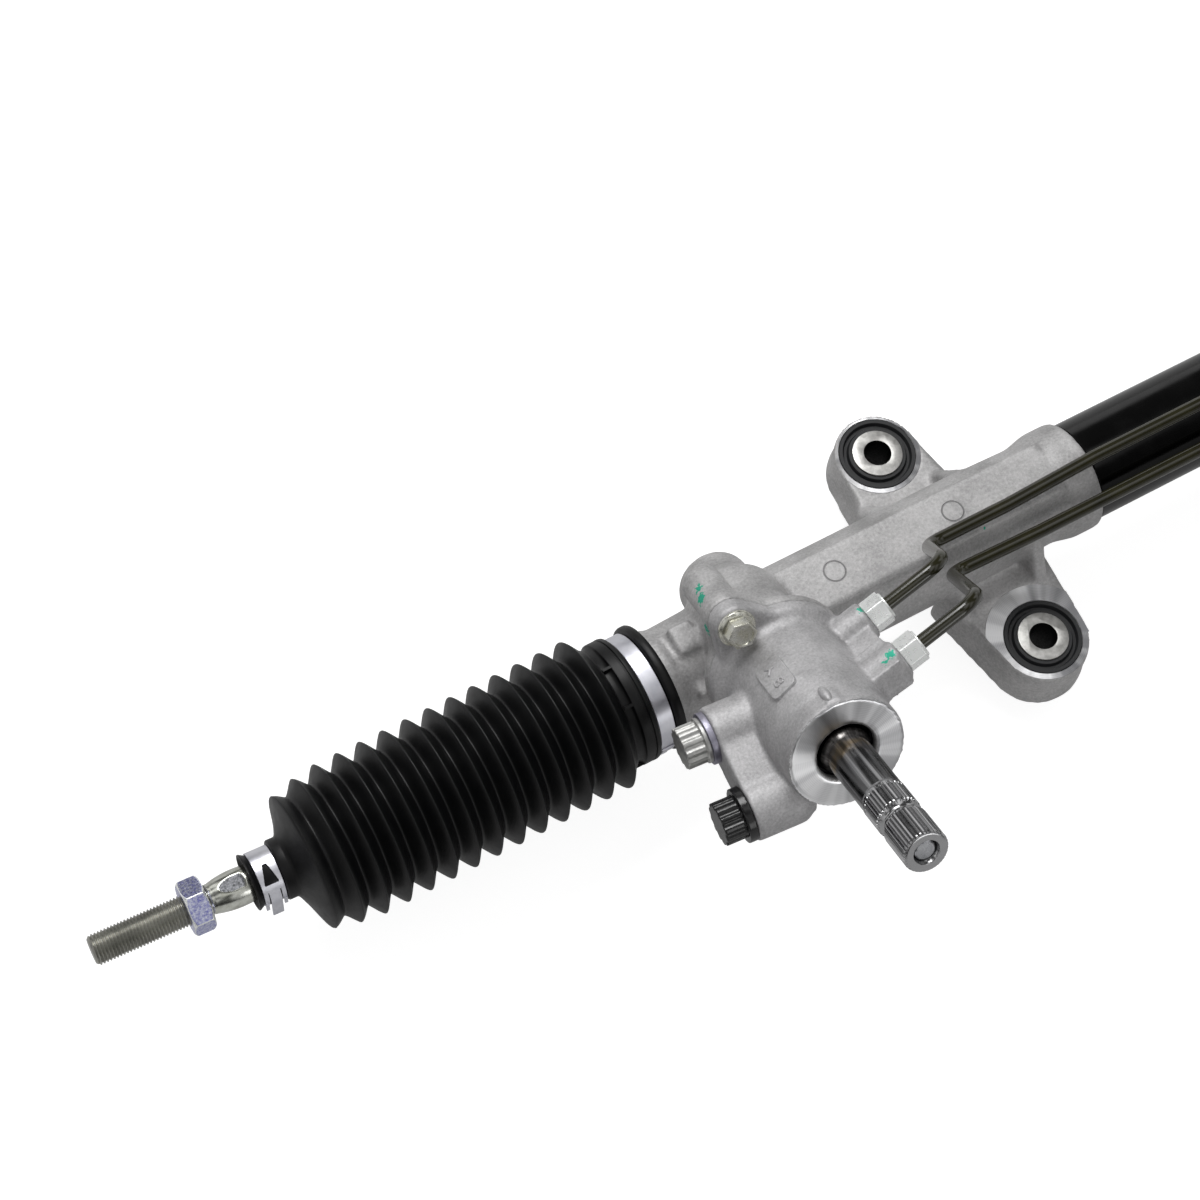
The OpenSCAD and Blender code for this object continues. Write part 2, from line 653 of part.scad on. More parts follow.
module bushing_rubbers() color([0.07, 0.07, 0.07])
    for (bush = [rear_bush, front_bush]) at_bush(bush, ear_bottom) rotate_extrude()
        polygon([[bush_sleeve_d / 2 + seat_gap, 1],
            [bush_sleeve_d / 2 + seat_gap, ear_t],
            [bush_sleeve_d / 2 + 1.6, ear_t],
            [bush_sleeve_d / 2 + 2.4, ear_t - 1.8],
            [bush_rubber_r - 2.8, ear_t - 1.8],
            [bush_rubber_r - 2, ear_t + 0.2],
            [bush_rubber_r - 0.4, ear_t + 0.2],
            [bush_rubber_r, ear_t - 0.4],
            [bush_rubber_r, ear_t - bush_lip_t + seat_gap],
            [bush_rubber_r - bush_shell_t - seat_gap, ear_t - bush_lip_t + seat_gap],
            [bush_rubber_r - bush_shell_t - seat_gap, 1]]);

module bushing_sleeve(bush) color([0.60, 0.60, 0.60]) at_bush(bush, ear_bottom - sleeve_proud)
    difference() {
        cylinder(r = bush_sleeve_d / 2, h = ear_t + 2 * sleeve_proud);
        translate([0, 0, -1]) cylinder(r = bush_bore_d / 2, h = ear_t + 2 * sleeve_proud + 2);
    }

module rear_bushing_sleeve() bushing_sleeve(rear_bush);

module front_bushing_sleeve() bushing_sleeve(front_bush);

// Rack guide: a sprung yoke that presses the rack against the pinion
guide_liner_t = 1;
guide_yoke_start = rack_r + 4;
guide_screw_l = 12;
guide_play = 0.15;
guide_yoke_end = guide_depth - guide_screw_l - guide_play;

module rack_guide() color([0.66, 0.66, 0.67]) difference() {
    on_guide() translate([0, 0, 3])
        cylinder(r = guide_bore_r - run_gap, h = guide_yoke_end - 3);
    along_rack(-30) cylinder(r = rack_r + guide_liner_t + seat_gap, h = 60);
    on_guide() translate([0, 0, guide_yoke_start + 1]) cylinder(r = 8.5, h = 30);
}

module guide_liner() color([0.45, 0.42, 0.30]) intersection() {
    along_rack(-9) difference() {
        cylinder(r = rack_r + guide_liner_t, h = 18);
        translate([0, 0, -1]) cylinder(r = rack_r + run_gap, h = 20);
    }
    on_guide() translate([0, 0, 4]) cylinder(r = 12, h = 30);
}

// Coil of round wire as one swept solid
function coil_point(r, pitch, a) = [r * cos(a), r * sin(a), pitch * a / 360];

module coil(r, wire_r, pitch, turns, sides = 8, steps = 18) {
    lift = atan(pitch / (2 * PI * r));
    rings = turns * steps;
    points = [for (i = [0:rings], j = [0:sides - 1])
        let (a = i * 360 / steps, b = j * 360 / sides, out = wire_r * cos(b),
            up = wire_r * sin(b), centre = coil_point(r, pitch, a))
        centre + [out * cos(a) + up * sin(lift) * sin(a),
            out * sin(a) - up * sin(lift) * cos(a), up * cos(lift)]];
    sides_faces = [for (i = [0:rings - 1], j = [0:sides - 1])
        let (k = (j + 1) % sides)
        [i * sides + j, i * sides + k, (i + 1) * sides + k, (i + 1) * sides + j]];
    polyhedron(points, concat(sides_faces,
        [[for (j = [sides - 1:-1:0]) j], [for (j = [0:sides - 1]) rings * sides + j]]));
}

spring_wire_r = 1.5;
spring_start = guide_yoke_start + 1 + spring_wire_r;
spring_end = guide_depth - guide_screw_l - spring_wire_r;

module guide_spring() color([0.35, 0.36, 0.38]) on_guide()
    translate([0, 0, spring_start]) coil(6, spring_wire_r, (spring_end - spring_start) / 3, 3);

module guide_screw() color([0.62, 0.60, 0.50]) on_guide() difference() {
    translate([0, 0, guide_depth - guide_screw_l])
        cylinder(r = guide_bore_r - seat_gap, h = guide_screw_l + 7);
    translate([0, 0, guide_depth + 1]) cylinder(r = 8, h = 7, $fn = 6);
}

module guide_lock_nut() color([0.60, 0.60, 0.58]) on_guide() difference() {
    translate([0, 0, guide_depth]) cylinder(r = 23, h = 6, $fn = 6);
    translate([0, 0, guide_depth - 1]) cylinder(r = guide_bore_r, h = 8);
}

// Bearings and seal of the pinion shaft that stay in the housings
module pinion_needle_bearing() color([0.60, 0.61, 0.63]) on_pinion(needle_u)
    ring(needle_r, journal_r + run_gap, needle_l);

module ball_bearing_outer() color([0.62, 0.63, 0.65]) on_pinion(bearing_u) difference() {
    ring(bearing_r, bearing_r - 3.4, bearing_t);
    translate([0, 0, bearing_t / 2]) ball_track();
}

ball_r = 3;
ball_count = 11;
ball_circle_r = (bearing_r + bearing_seat_r) / 2;

module ball_track() {
    rotate_extrude() translate([ball_circle_r, 0]) circle(r = ball_r + run_gap);
}

module input_bearing() color([0.60, 0.61, 0.63]) on_pinion(valve_bore_end_u)
    ring(cage_r, rotor_r + run_gap, 6);

module input_seal() color([0.05, 0.05, 0.05]) on_pinion(valve_bore_end_u + 6)
    rotate_extrude() polygon([
        [rotor_r + run_gap, 2.4], [rotor_r + run_gap, 3.4], [rotor_r + 1.6, 5.8],
        [cage_r - 2.4, 5.8], [cage_r - 2, 6.9], [cage_r, 6.9], [cage_r, 0.1],
        [rotor_r + 2.4, 0.1]]);

// Transfer pipes. Their points are measured from the pinion, along the rack, across it and
// above its axis, with the radius of each bend in the path.
function smooth_path(points, r) = concat([points[0]],
    [for (i = [1:len(points) - 2])
        let (a = points[i - 1] - points[i], b = points[i + 1] - points[i],
            ua = a / norm(a), ub = b / norm(b), half = acos(ua * ub) / 2,
            back = min(r / tan(half), norm(a) * 0.48, norm(b) * 0.48),
            bend = back * tan(half), mid = (ua + ub) / norm(ua + ub),
            centre = points[i] + mid * bend / sin(half), turn = 180 - 2 * half,
            steps = max(2, ceil(turn / 15)), side = (ua - mid * (ua * mid)),
            across = side / norm(side))
        for (k = [0:steps]) let (t = turn * (k / steps - 0.5))
            centre - bend * (mid * cos(t) + across * sin(t))],
    [points[len(points) - 1]]);

// Frames are carried along the path without twist
function carry(points, i, up) = i == 0 ? up :
    let (before = carry(points, i - 1, up),
        along = points[min(i + 1, len(points) - 1)] - points[i - 1],
        flat = before - along * (before * along) / (along * along))
    flat / norm(flat);

module swept_pipe(points, r, sides = 10) {
    first = points[1] - points[0];
    seed = cross(first, [0.3, 0.5, 0.81]);
    last = len(points) - 1;
    verts = [for (i = [0:last])
        let (along = points[min(i + 1, last)] - points[max(i - 1, 0)],
            ahead = i < last ? points[i + 1] - points[i] : points[i] - points[i - 1],
            t = along / norm(along), u = carry(points, i, seed / norm(seed)),
            n = u - t * (u * t), across = n / norm(n), third = cross(t, across))
        for (j = [0:sides - 1]) let (b = j * 360 / sides)
            points[i] + r * (cos(b) * across + sin(b) * third)];
    faces = concat(
        [[for (j = [0:sides - 1]) j]],
        [for (i = [0:last - 1], j = [0:sides - 1]) let (k = (j + 1) % sides)
            [i * sides + j, (i + 1) * sides + j, (i + 1) * sides + k, i * sides + k]],
        [[for (j = [sides - 1:-1:0]) last * sides + j]]);
    polyhedron(verts, faces);
}

// Place of a point given in the pinion's own frame, from the pinion's station
function from_pinion(p) =
    let (x = p.x * cos(shaft_skew) - p.z * sin(shaft_skew),
        v = p.x * sin(shaft_skew) + p.z * cos(shaft_skew))
    [x, (p.y + mesh_offset) * cos(shaft_lean) - v * sin(shaft_lean),
        (p.y + mesh_offset) * sin(shaft_lean) + v * cos(shaft_lean)];

function port_point(u, out) = from_pinion([out * cos(port_angle), out * sin(port_angle), u]);

function cylinder_port_point(x, out) =
    [x, -out * sin(port_turn), out * cos(port_turn)];

pipe_r = pipe_d / 2;
port_top = tube_r + port_stem_l;
nut_reach = 10;

// Place beside the rack axis, at an angle round it from the top
function beside_rack(x, turn, r) = [x, -r * sin(turn), r * cos(turn)];

rear_turn = 17;
front_turn = 48;
// The rear pipe dips by this angle where it passes the casting's rim
rear_dip = 3;
rear_route = [port_point(port_inner_u, port_reach + 1), port_point(port_inner_u, pipe_lift),
    beside_rack(rear_run_x, rear_turn, pipe_run),
    beside_rack(rear_bend_x, rear_turn, pipe_run),
    beside_rack(rear_bend_x + rear_bend_l, rear_turn - rear_dip, pipe_run),
    beside_rack(port_stations[0] - pipe_lead, rear_turn - rear_dip, pipe_run),
    cylinder_port_point(port_stations[0], port_top + pipe_loop),
    cylinder_port_point(port_stations[0], port_top + 1)];
front_route = [port_point(port_outer_u, port_reach + 1), port_point(port_outer_u, pipe_lift),
    beside_rack(front_run_x, front_turn - 2, pipe_run),
    beside_rack(front_run_x + rear_bend_l, front_turn, pipe_run),
    beside_rack(port_stations[1] - pipe_lead, front_turn, pipe_run),
    cylinder_port_point(port_stations[1], port_top + pipe_loop),
    cylinder_port_point(port_stations[1], port_top + 1)];

module pipe(route) color([0.20, 0.20, 0.12]) translate([pinion_x, 0, 0])
    swept_pipe(smooth_path(route, 1.7 * pipe_d), pipe_r);

module pipe_rear() pipe(rear_route);

module pipe_front() pipe(front_route);

// Flare nut with its threaded end below z = 0
module pipe_nut() {
    difference() {
        union() {
            translate([0, 0, -7.5]) cylinder(r = pipe_thread_r, h = 8);
            cylinder(r = pipe_nut_af / 2 / cos(30), h = nut_reach - 1, $fn = 6);
            cylinder(r = pipe_nut_af / 2 - 0.5, h = nut_reach);
        }
        translate([0, 0, -9]) cylinder(r = pipe_r + 0.2, h = 30);
    }
}

module valve_pipe_nuts() color([0.80, 0.81, 0.80])
    for (u = [port_inner_u, port_outer_u])
        on_pipe_port(u) translate([0, 0, port_reach]) pipe_nut();

module cylinder_pipe_nuts() color([0.80, 0.81, 0.80])
    for (x = port_stations) on_cylinder_port(x) translate([0, 0, port_top]) pipe_nut();

// Plastic plugs that close the hose ports until the hoses are fitted
module splined_head(r, count, h) {
    linear_extrude(h) difference() {
        circle(r = r);
        for (i = [0:count - 1]) rotate(i * 360 / count) translate([r + 0.6, 0]) circle(r = 1.6);
    }
}

module grey_port_plug() color([0.72, 0.72, 0.70]) on_hose_port(hose_inner_u, 0)
    translate([0, 0, hose_reach]) {
        translate([0, 0, -11]) cylinder(r = hose_thread_r, h = 14);
        translate([0, 0, 2.8]) cylinder(r = 10.2, h = 2);
        translate([0, 0, 4.6]) splined_head(9.4, 12, 9.5);
    }

module grey_plug_washer() color([0.50, 0.51, 0.56]) on_hose_port(hose_inner_u, 0)
    ring(11.6, hose_thread_r + 0.1, 2.8, hose_reach);

module black_port_plug() color([0.03, 0.03, 0.03])
    on_hose_port(hose_outer_u, hose_drop) translate([0, 0, hose_reach]) {
        translate([0, 0, -11]) cylinder(r = hose_thread_r, h = 13);
        cylinder(r = 12.2, h = 4);
        translate([0, 0, 4]) splined_head(9.6, 12, 9.5);
    }

// Rubber bellows, drawn for the left end and mirrored for the right. Local Z runs along
// the rack from the tie rod towards the housing.
fold_last = first_crest + (fold_count - 1) * fold_pitch;
cuff_start = fold_last + fold_pitch / 2;
cuff_end = stop_x + cuff_seat_l + 4;
cuff_base = ball_left - first_crest + 7;
cuff_clamp = cuff_base + 4;
cuff_tip = cuff_base + 18;

function crest_radius(i) = i == 0 ? crest_r - 4.5 : i == 1 ? crest_r - 1.5 : crest_r;

// Radius of the outer skin along the folds
function fold_profile() = [for (i = [0:fold_count - 1]) each [
    [crest_radius(i) - 1, first_crest + i * fold_pitch - 0.9],
    [crest_radius(i), first_crest + i * fold_pitch],
    [crest_radius(i) - 1, first_crest + i * fold_pitch + 0.9],
    [root_r, first_crest + (i + 0.5) * fold_pitch - 0.8],
    [root_r, first_crest + (i + 0.5) * fold_pitch + 0.8]]];

function reversed(list) = [for (i = [len(list) - 1:-1:0]) list[i]];

module bellows_shell() {
    folds = fold_profile();
    cone_end = ball_left - cuff_base;
    outer = concat([[small_cuff_r, cone_end], [small_cuff_r + 3, cone_end + 2.6]],
        folds, [[cuff_seat_r + bellows_wall + 2, cuff_start + 3],
        [cuff_seat_r + bellows_wall + 2, stop_x + 24], [cuff_seat_r + bellows_wall, stop_x + 25],
        [cuff_seat_r + bellows_wall, stop_x + 37], [cuff_seat_r + bellows_wall + 2, stop_x + 38],
        [cuff_seat_r + bellows_wall + 2, cuff_end]]);
    inner = concat([[small_cuff_r - 1.2, cone_end], [small_cuff_r + 1.4, cone_end + 4]],
        [for (p = folds) [p.x - bellows_wall, p.y]],
        [[cuff_seat_r + seat_gap, stop_x - 1], [cuff_seat_r + seat_gap, cuff_end]]);
    along_rack(0) rotate_extrude() polygon(concat(outer, reversed(inner)));
}

module small_cuff() {
    // The cuff grips the tie rod, so it lies along the rod
    on_rod() rotate_extrude() polygon([
        [rod_r + seat_gap, cuff_base + 1], [small_cuff_r - 0.4, cuff_base - 4],
        [small_cuff_r + 1.4, cuff_base - 2], [small_cuff_r + 0.8, cuff_clamp - 0.5],
        [small_cuff_r, cuff_clamp], [small_cuff_r, cuff_tip - 4],
        [small_cuff_r - 1, cuff_tip - 3.5], [small_cuff_r - 1, cuff_tip],
        [rod_r + seat_gap, cuff_tip]]);
}

module bellows() color([0.05, 0.05, 0.05]) {
    bellows_shell();
    small_cuff();
}

module bellows_left() bellows();

module bellows_right() to_right_end() bellows();

// Band clamps round the large cuffs
module large_clamp() {
    band_w = 10;
    band_r = cuff_seat_r + bellows_wall + seat_gap;
    along_rack(stop_x + 26) {
        ring(band_r + 0.8, band_r, band_w);
        // Folded ear that draws the band tight
        rotate([0, 0, 150]) translate([band_r + 0.4, -5, 1]) cube([4.5, 8, band_w - 2]);
    }
}

module large_clamps() color([0.70, 0.71, 0.72]) {
    large_clamp();
    to_right_end() large_clamp();
}

// Spring clamp round the small cuff, with its two finger tabs
module small_clamp() {
    inner_r = small_cuff_r + seat_gap;
    on_rod() translate([0, 0, cuff_clamp]) {
        difference() {
            ring(inner_r + 0.8, inner_r, 10);
            for (turn = [40, 70]) rotate([0, 0, turn]) translate([inner_r, 0, 5])
                rotate([0, 90, 0]) cylinder(r = 2.4, h = 4, center = true);
        }
        for (turn = [-150, -105]) rotate([0, 0, turn])
            translate([inner_r + 0.3, -0.6, 1]) cube([6, 1.2, 7]);
    }
}

module small_clamp_left() color([0.66, 0.67, 0.68]) small_clamp();

module small_clamp_right() color([0.66, 0.67, 0.68]) to_right_end() small_clamp();

// Rack bar with its teeth cut across it at the rack tooth angle
module rack_tooth_gaps() {
    flank = tan(pressure_angle);
    half_gap = (tooth_pitch / 2 + backlash / 2) / 2;
    top = rack_r + 2;
    // Outline of one gap, across the tooth: x along the gaps' spacing, y above the rack axis
    gap = [[-half_gap + (datum_h - rack_root_h) * flank, rack_root_h],
        [half_gap - (datum_h - rack_root_h) * flank, rack_root_h],
        [half_gap + (top - datum_h) * flank, top], [-half_gap - (top - datum_h) * flank, top]];
    for (i = [0:rack_teeth - 1]) {
        shift = (i - (rack_teeth - 1) / 2 + (rack_teeth % 2 == 0 ? 0.5 : 0)) * rack_pitch;
        translate([shift, 0, 0]) rotate([0, 0, rack_tooth_angle])
            rotate([90, 0, 0]) linear_extrude(60, center = true) polygon(gap);
    }
}

module rack_bar() color([0.58, 0.58, 0.60]) difference() {
    along_rack(rack_left) cylinder(r = rack_r, h = rack_right - rack_left);
    toothed_l = (rack_teeth + 1) * rack_pitch;
    translate([pinion_x, 0, 0]) rotate([shaft_lean - 90, 0, 0]) {
        translate([-toothed_l / 2, -rack_r, rack_tip_h]) cube([toothed_l, 2 * rack_r, rack_r]);
        rack_tooth_gaps();
    }
    for (x = [rack_left - 1, rack_right - socket_stub_l - 2]) along_rack(x)
        cylinder(r = socket_stub_r + seat_gap, h = socket_stub_l + 3);
    for (x = [piston_x - piston_t / 2 - 1.6, piston_x + piston_t / 2]) along_rack(x)
        ring(rack_r + 1, rack_r - 1, 1.6);
}

module piston() color([0.60, 0.60, 0.62]) along_rack(piston_x - piston_t / 2) difference() {
    ring(tube_bore_r - free_gap, rack_r + seat_gap, piston_t);
    translate([0, 0, piston_t / 2 - 2]) ring(tube_bore_r + 1, tube_bore_r - 2, 4);
}

module piston_ring() color([0.85, 0.84, 0.78]) along_rack(piston_x - 2 + seat_gap)
    ring(tube_bore_r - run_gap, tube_bore_r - 2 + seat_gap, 4 - 2 * seat_gap);

module piston_clips() color([0.4, 0.4, 0.42])
    for (x = [piston_x - piston_t / 2 - 1.6, piston_x + piston_t / 2]) along_rack(x + 0.05)
        ring(rack_r + 1.4, rack_r - 1 + seat_gap, 1.5);

// Ball joints at the ends of the rack
socket_back = rack_end_gap - 3;
ball_seat_t = 1.6;
cup_r = ball_d / 2 + ball_seat_t + run_gap;

module ball_socket() along_rack(ball_left) difference() {
    rotate_extrude() polygon([[0, -11], [socket_r - 3, -11], [socket_r, -6],
        [socket_r, socket_back - 2], [socket_r - 1, socket_back], [socket_stub_r, socket_back],
        [socket_stub_r, rack_end_gap + socket_stub_l - 1],
        [socket_stub_r - 1, rack_end_gap + socket_stub_l], [0, rack_end_gap + socket_stub_l]]);
    sphere(r = cup_r);
    translate([0, 0, -12]) cylinder(r1 = cup_r - 1, r2 = cup_r - 2.6, h = 8);
    // Spanner flats
    for (side = [0, 180]) rotate([0, 0, side]) translate([socket_r - 1.5, -20, 4])
        cube([5, 40, 12]);
}

module ball_socket_left() color([0.40, 0.41, 0.42]) ball_socket();

module ball_socket_right() color([0.40, 0.41, 0.42]) to_right_end() ball_socket();

// Resin cup between ball and socket
module ball_seat() along_rack(ball_left) difference() {
    sphere(r = cup_r - run_gap);
    sphere(r = ball_d / 2 + run_gap);
    translate([0, 0, -20]) cylinder(r = 20, h = 20 - 4.5);
}

module ball_seats() color([0.80, 0.78, 0.70]) {
    ball_seat();
    to_right_end() ball_seat();
}

module stop_washer() along_rack(rack_left - 3) ring(socket_r, socket_stub_r + 0.1, 3);

module stop_washers() color([0.30, 0.30, 0.31]) {
    stop_washer();
    to_right_end() stop_washer();
}

// Pinion: helical involute teeth between two bearings, with a head that drives the valve
function involute_angle(r) = let (a = acos(base_r / r)) tan(a) * 180 / PI - a;

function flank_angle(r) = (pinion_thickness / pitch_r / 2) * 180 / PI
    + involute_angle(pitch_r) - involute_angle(max(r, base_r));

function tooth_side(steps) = [for (i = [0:steps])
    let (r = base_r + (tip_r - base_r) * i / steps) [r, flank_angle(r)]];

module pinion_profile() {
    side = tooth_side(5);
    polygon([for (k = [0:pinion_teeth - 1]) each concat(
        [let (a = k * 360 / pinion_teeth - flank_angle(base_r))
            pinion_root_r * [cos(a - 4), sin(a - 4)]],
        [for (p = side) let (a = k * 360 / pinion_teeth - p.y) p.x * [cos(a), sin(a)]],
        [for (p = reversed(side)) let (a = k * 360 / pinion_teeth + p.y)
            p.x * [cos(a), sin(a)]],
        [let (a = k * 360 / pinion_teeth + flank_angle(base_r))
            pinion_root_r * [cos(a + 4), sin(a + 4)]])]);
}

module pinion_teeth_body() {
    helix_turn = pinion_tooth_l * tan(helix_angle) / pitch_r * 180 / PI;
    translate([0, 0, -pinion_tooth_l / 2]) rotate([0, 0, -90 - helix_turn / 2])
        linear_extrude(pinion_tooth_l, twist = -helix_turn, slices = 24) pinion_profile();
}

module pinion() color([0.50, 0.50, 0.52]) on_pinion() difference() {
    half = pinion_tooth_l / 2;
    union() {
        pinion_teeth_body();
        translate([0, 0, needle_u + 0.5]) cylinder(r = journal_r, h = 0.5 - half - needle_u);
        translate([0, 0, half - 1])
            cylinder(r1 = journal_r + 1, r2 = tooth_cavity_r - 1.2, h = 5);
        translate([0, 0, half + 4]) cylinder(r = tooth_cavity_r - 1.2, h = bearing_u - half - 4);
        translate([0, 0, bearing_u]) cylinder(r = bearing_seat_r, h = bearing_t + 0.4);
        translate([0, 0, bearing_u + bearing_t]) cylinder(r = head_r - 2, h = 2);
        translate([0, 0, flange_u + 1]) cylinder(r = head_r, h = head_end_u - flange_u - 1);
    }
    translate([0, 0, torsion_u]) cylinder(r = torsion_end_d / 2 + run_gap, h = 60);
    translate([0, 0, stub_u - 1]) cylinder(r = stub_r + run_gap, h = 20);
    on_sleeve_pin() cylinder(r = pin_r + seat_gap, h = 12);
}

torsion_u = 18;
stub_u = flange_u + 3;
pin_r = 1.5;
pin_u = flange_u + 6.3;

// Local Z points out of the sleeve's locating pin
module on_sleeve_pin() {
    translate([0, 0, pin_u]) rotate([90, 0, 0]) translate([0, 0, head_r - 5]) children();
}

module ball_bearing_inner() color([0.62, 0.63, 0.65]) on_pinion(bearing_u) difference() {
    ring(bearing_seat_r + 3.4, bearing_seat_r + seat_gap, bearing_t);
    translate([0, 0, bearing_t / 2]) ball_track();
}

module bearing_balls() color([0.72, 0.73, 0.75]) on_pinion(bearing_u + bearing_t / 2)
    for (i = [0:ball_count - 1]) rotate([0, 0, i * 360 / ball_count])
        translate([ball_circle_r, 0, 0]) sphere(r = ball_r, $fn = 24);

// Rotary valve: a sleeve pinned to the pinion round the rotor of the input shaft
ring_w = 2;
first_ring_u = pin_u + pin_r + ring_w / 2 + 0.6;
ring_step = (sleeve_u + sleeve_l - 6 - first_ring_u) / 3;
ring_places = [for (i = [0:3]) first_ring_u + i * ring_step];

module valve_sleeve() color([0.60, 0.60, 0.62]) on_pinion() difference() {
    translate([0, 0, sleeve_u]) cylinder(r = sleeve_r, h = sleeve_l);
    translate([0, 0, sleeve_u - 1]) cylinder(r = rotor_r + run_gap, h = sleeve_l + 2);
    translate([0, 0, sleeve_u - 1]) cylinder(r = head_r + seat_gap, h = head_end_u - sleeve_u + 1.3);
    for (u = ring_places) translate([0, 0, u - ring_w / 2])
        ring(sleeve_r + 1, sleeve_r - 1.6, ring_w);
    // Oil grooves between the sealing rings, with their drilled ports
    for (i = [0:2]) {
        z = first_ring_u + (i + 0.5) * ring_step;
        translate([0, 0, z - 2.5]) ring(sleeve_r + 1, sleeve_r - 1.2, 5);
        if (i > 0) for (a = [0:90:270]) translate([0, 0, z]) rotate([0, 0, a + 30 * i])
            rotate([0, 90, 0]) cylinder(r = 1.6, h = sleeve_r + 2);
    }
    on_sleeve_pin() cylinder(r = pin_r + seat_gap, h = 20);
}

module sleeve_rings() color([0.75, 0.72, 0.62]) on_pinion() for (u = ring_places)
    translate([0, 0, u - ring_w / 2 + seat_gap])
        ring(valve_bore_r - run_gap, sleeve_r - 1.6 + seat_gap, ring_w - 2 * seat_gap);

module sleeve_pin() color([0.55, 0.55, 0.57]) on_pinion() on_sleeve_pin()
    cylinder(r = pin_r, h = sleeve_r - head_r + 4.6);

// Input shaft: rotor, journal, plain length and serrated end with a groove for the
// clamping bolt of the steering joint
shaft_r = shaft_d / 2;
serration_r = serration_d / 2;
shaft_end_u = face_u + shaft_reach;
serration_u = shaft_end_u - 39;
bolt_groove_u = shaft_end_u - 22;
bolt_groove_r = 3.6;
end_hole_r = torsion_end_d / 2 + 1.1;

module serration_cuts() {
    depth = 0.95;
    wide = PI * serration_r / serration_count;
    for (i = [0:serration_count - 1]) rotate([0, 0, i * 360 / serration_count])
        translate([serration_r, 0, serration_u + 1.5])
            linear_extrude(shaft_end_u - serration_u)
                polygon([[-depth, 0], [0.3, -wide * 0.8], [0.3, wide * 0.8]]);
}

module input_shaft() color([0.62, 0.63, 0.65]) on_pinion() difference() {
    rotate_extrude() polygon([[0, stub_u], [stub_r, stub_u], [stub_r, head_end_u + 0.5],
        [rotor_r, head_end_u + 1.5], [rotor_r, face_u - 1.5], [shaft_r + 0.6, face_u + 1],
        [shaft_r, face_u + 2.5], [shaft_r, serration_u - 0.6],
        [serration_r - 0.6, serration_u - 0.3], [serration_r, serration_u + 0.6],
        [serration_r, bolt_groove_u - 3.4], [serration_r - 1.5, bolt_groove_u - 2.2],
        [serration_r - 2, bolt_groove_u], [serration_r - 1.5, bolt_groove_u + 2.2],
        [serration_r, bolt_groove_u + 3.4], [serration_r, shaft_end_u - 1.6],
        [serration_r - 1.6, shaft_end_u], [0, shaft_end_u]]);
    serration_cuts();
    translate([0, 0, stub_u - 1]) cylinder(r = torsion_mid_d / 2 + 1, h = shaft_end_u);
    translate([0, 0, shaft_end_u - 20]) cylinder(r = torsion_end_d / 2 + seat_gap, h = 30);
    translate([0, 0, shaft_end_u - 4]) cylinder(r = end_hole_r, h = 10);
    // Oil slots of the rotor
    for (a = [0:60:300]) rotate([0, 0, a]) translate([rotor_r, 0, sleeve_u + 14])
        cylinder(r = 1.5, h = sleeve_l - 22);
}

module torsion_bar() color([0.35, 0.36, 0.38]) on_pinion() rotate_extrude() polygon([
    [0, torsion_u + 0.3], [torsion_end_d / 2 - 0.5, torsion_u + 0.3],
    [torsion_end_d / 2, torsion_u + 0.8], [torsion_end_d / 2, stub_u - 5],
    [torsion_mid_d / 2, stub_u - 1.5], [torsion_mid_d / 2, shaft_end_u - 19.6],
    [torsion_end_d / 2, shaft_end_u - 17], [torsion_end_d / 2, shaft_end_u - 2],
    [torsion_end_d / 2 - 0.5, shaft_end_u - 1.5], [0, shaft_end_u - 1.5]]);

// Inner tie rods with their lock nuts
flats_l = 14;
flats_start = rod_l - thread_l - flats_l - 2;

module tie_rod() on_rod() {
    sphere(r = ball_d / 2);
    cylinder(r1 = rod_r - 1, r2 = rod_r, h = 26);
    translate([0, 0, 25]) cylinder(r = rod_r, h = flats_start - 25);
    intersection() {
        translate([0, 0, flats_start]) cylinder(r = rod_r, h = flats_l);
        translate([-rod_r, -rod_r + 1.6, flats_start])
            cube([2 * rod_r, 2 * rod_r - 3.2, flats_l]);
    }
    translate([0, 0, flats_start + flats_l])
        cylinder(r1 = rod_r - 0.6, r2 = thread_r - 0.6, h = 3);
    translate([0, 0, rod_l - thread_l]) cylinder(r = thread_core_r, h = thread_l - 5);
    translate([0, 0, nut_end + 0.5]) cylinder(r = thread_r, h = rod_l - 1.5 - nut_end - 0.5);
    translate([0, 0, rod_l - 1.5]) cylinder(r1 = thread_r, r2 = thread_r - 1.5, h = 1.5);
}

module tie_rod_left() color([0.62, 0.62, 0.58]) tie_rod();

module tie_rod_right() color([0.62, 0.62, 0.58]) to_right_end() tie_rod();

module lock_nut() on_rod() translate([0, 0, nut_end - nut_t]) difference() {
    intersection() {
        cylinder(r = nut_r, h = nut_t, $fn = 6);
        rotate_extrude() polygon([[0, 0], [nut_af / 2, 0], [nut_r, 1.2],
            [nut_r, nut_t - 1.2], [nut_af / 2, nut_t], [0, nut_t]]);
    }
    translate([0, 0, -1]) cylinder(r = thread_core_r + seat_gap, h = nut_t + 2);
}

module lock_nut_left() color([0.66, 0.68, 0.76]) lock_nut();

module lock_nut_right() color([0.66, 0.68, 0.76]) to_right_end() lock_nut();

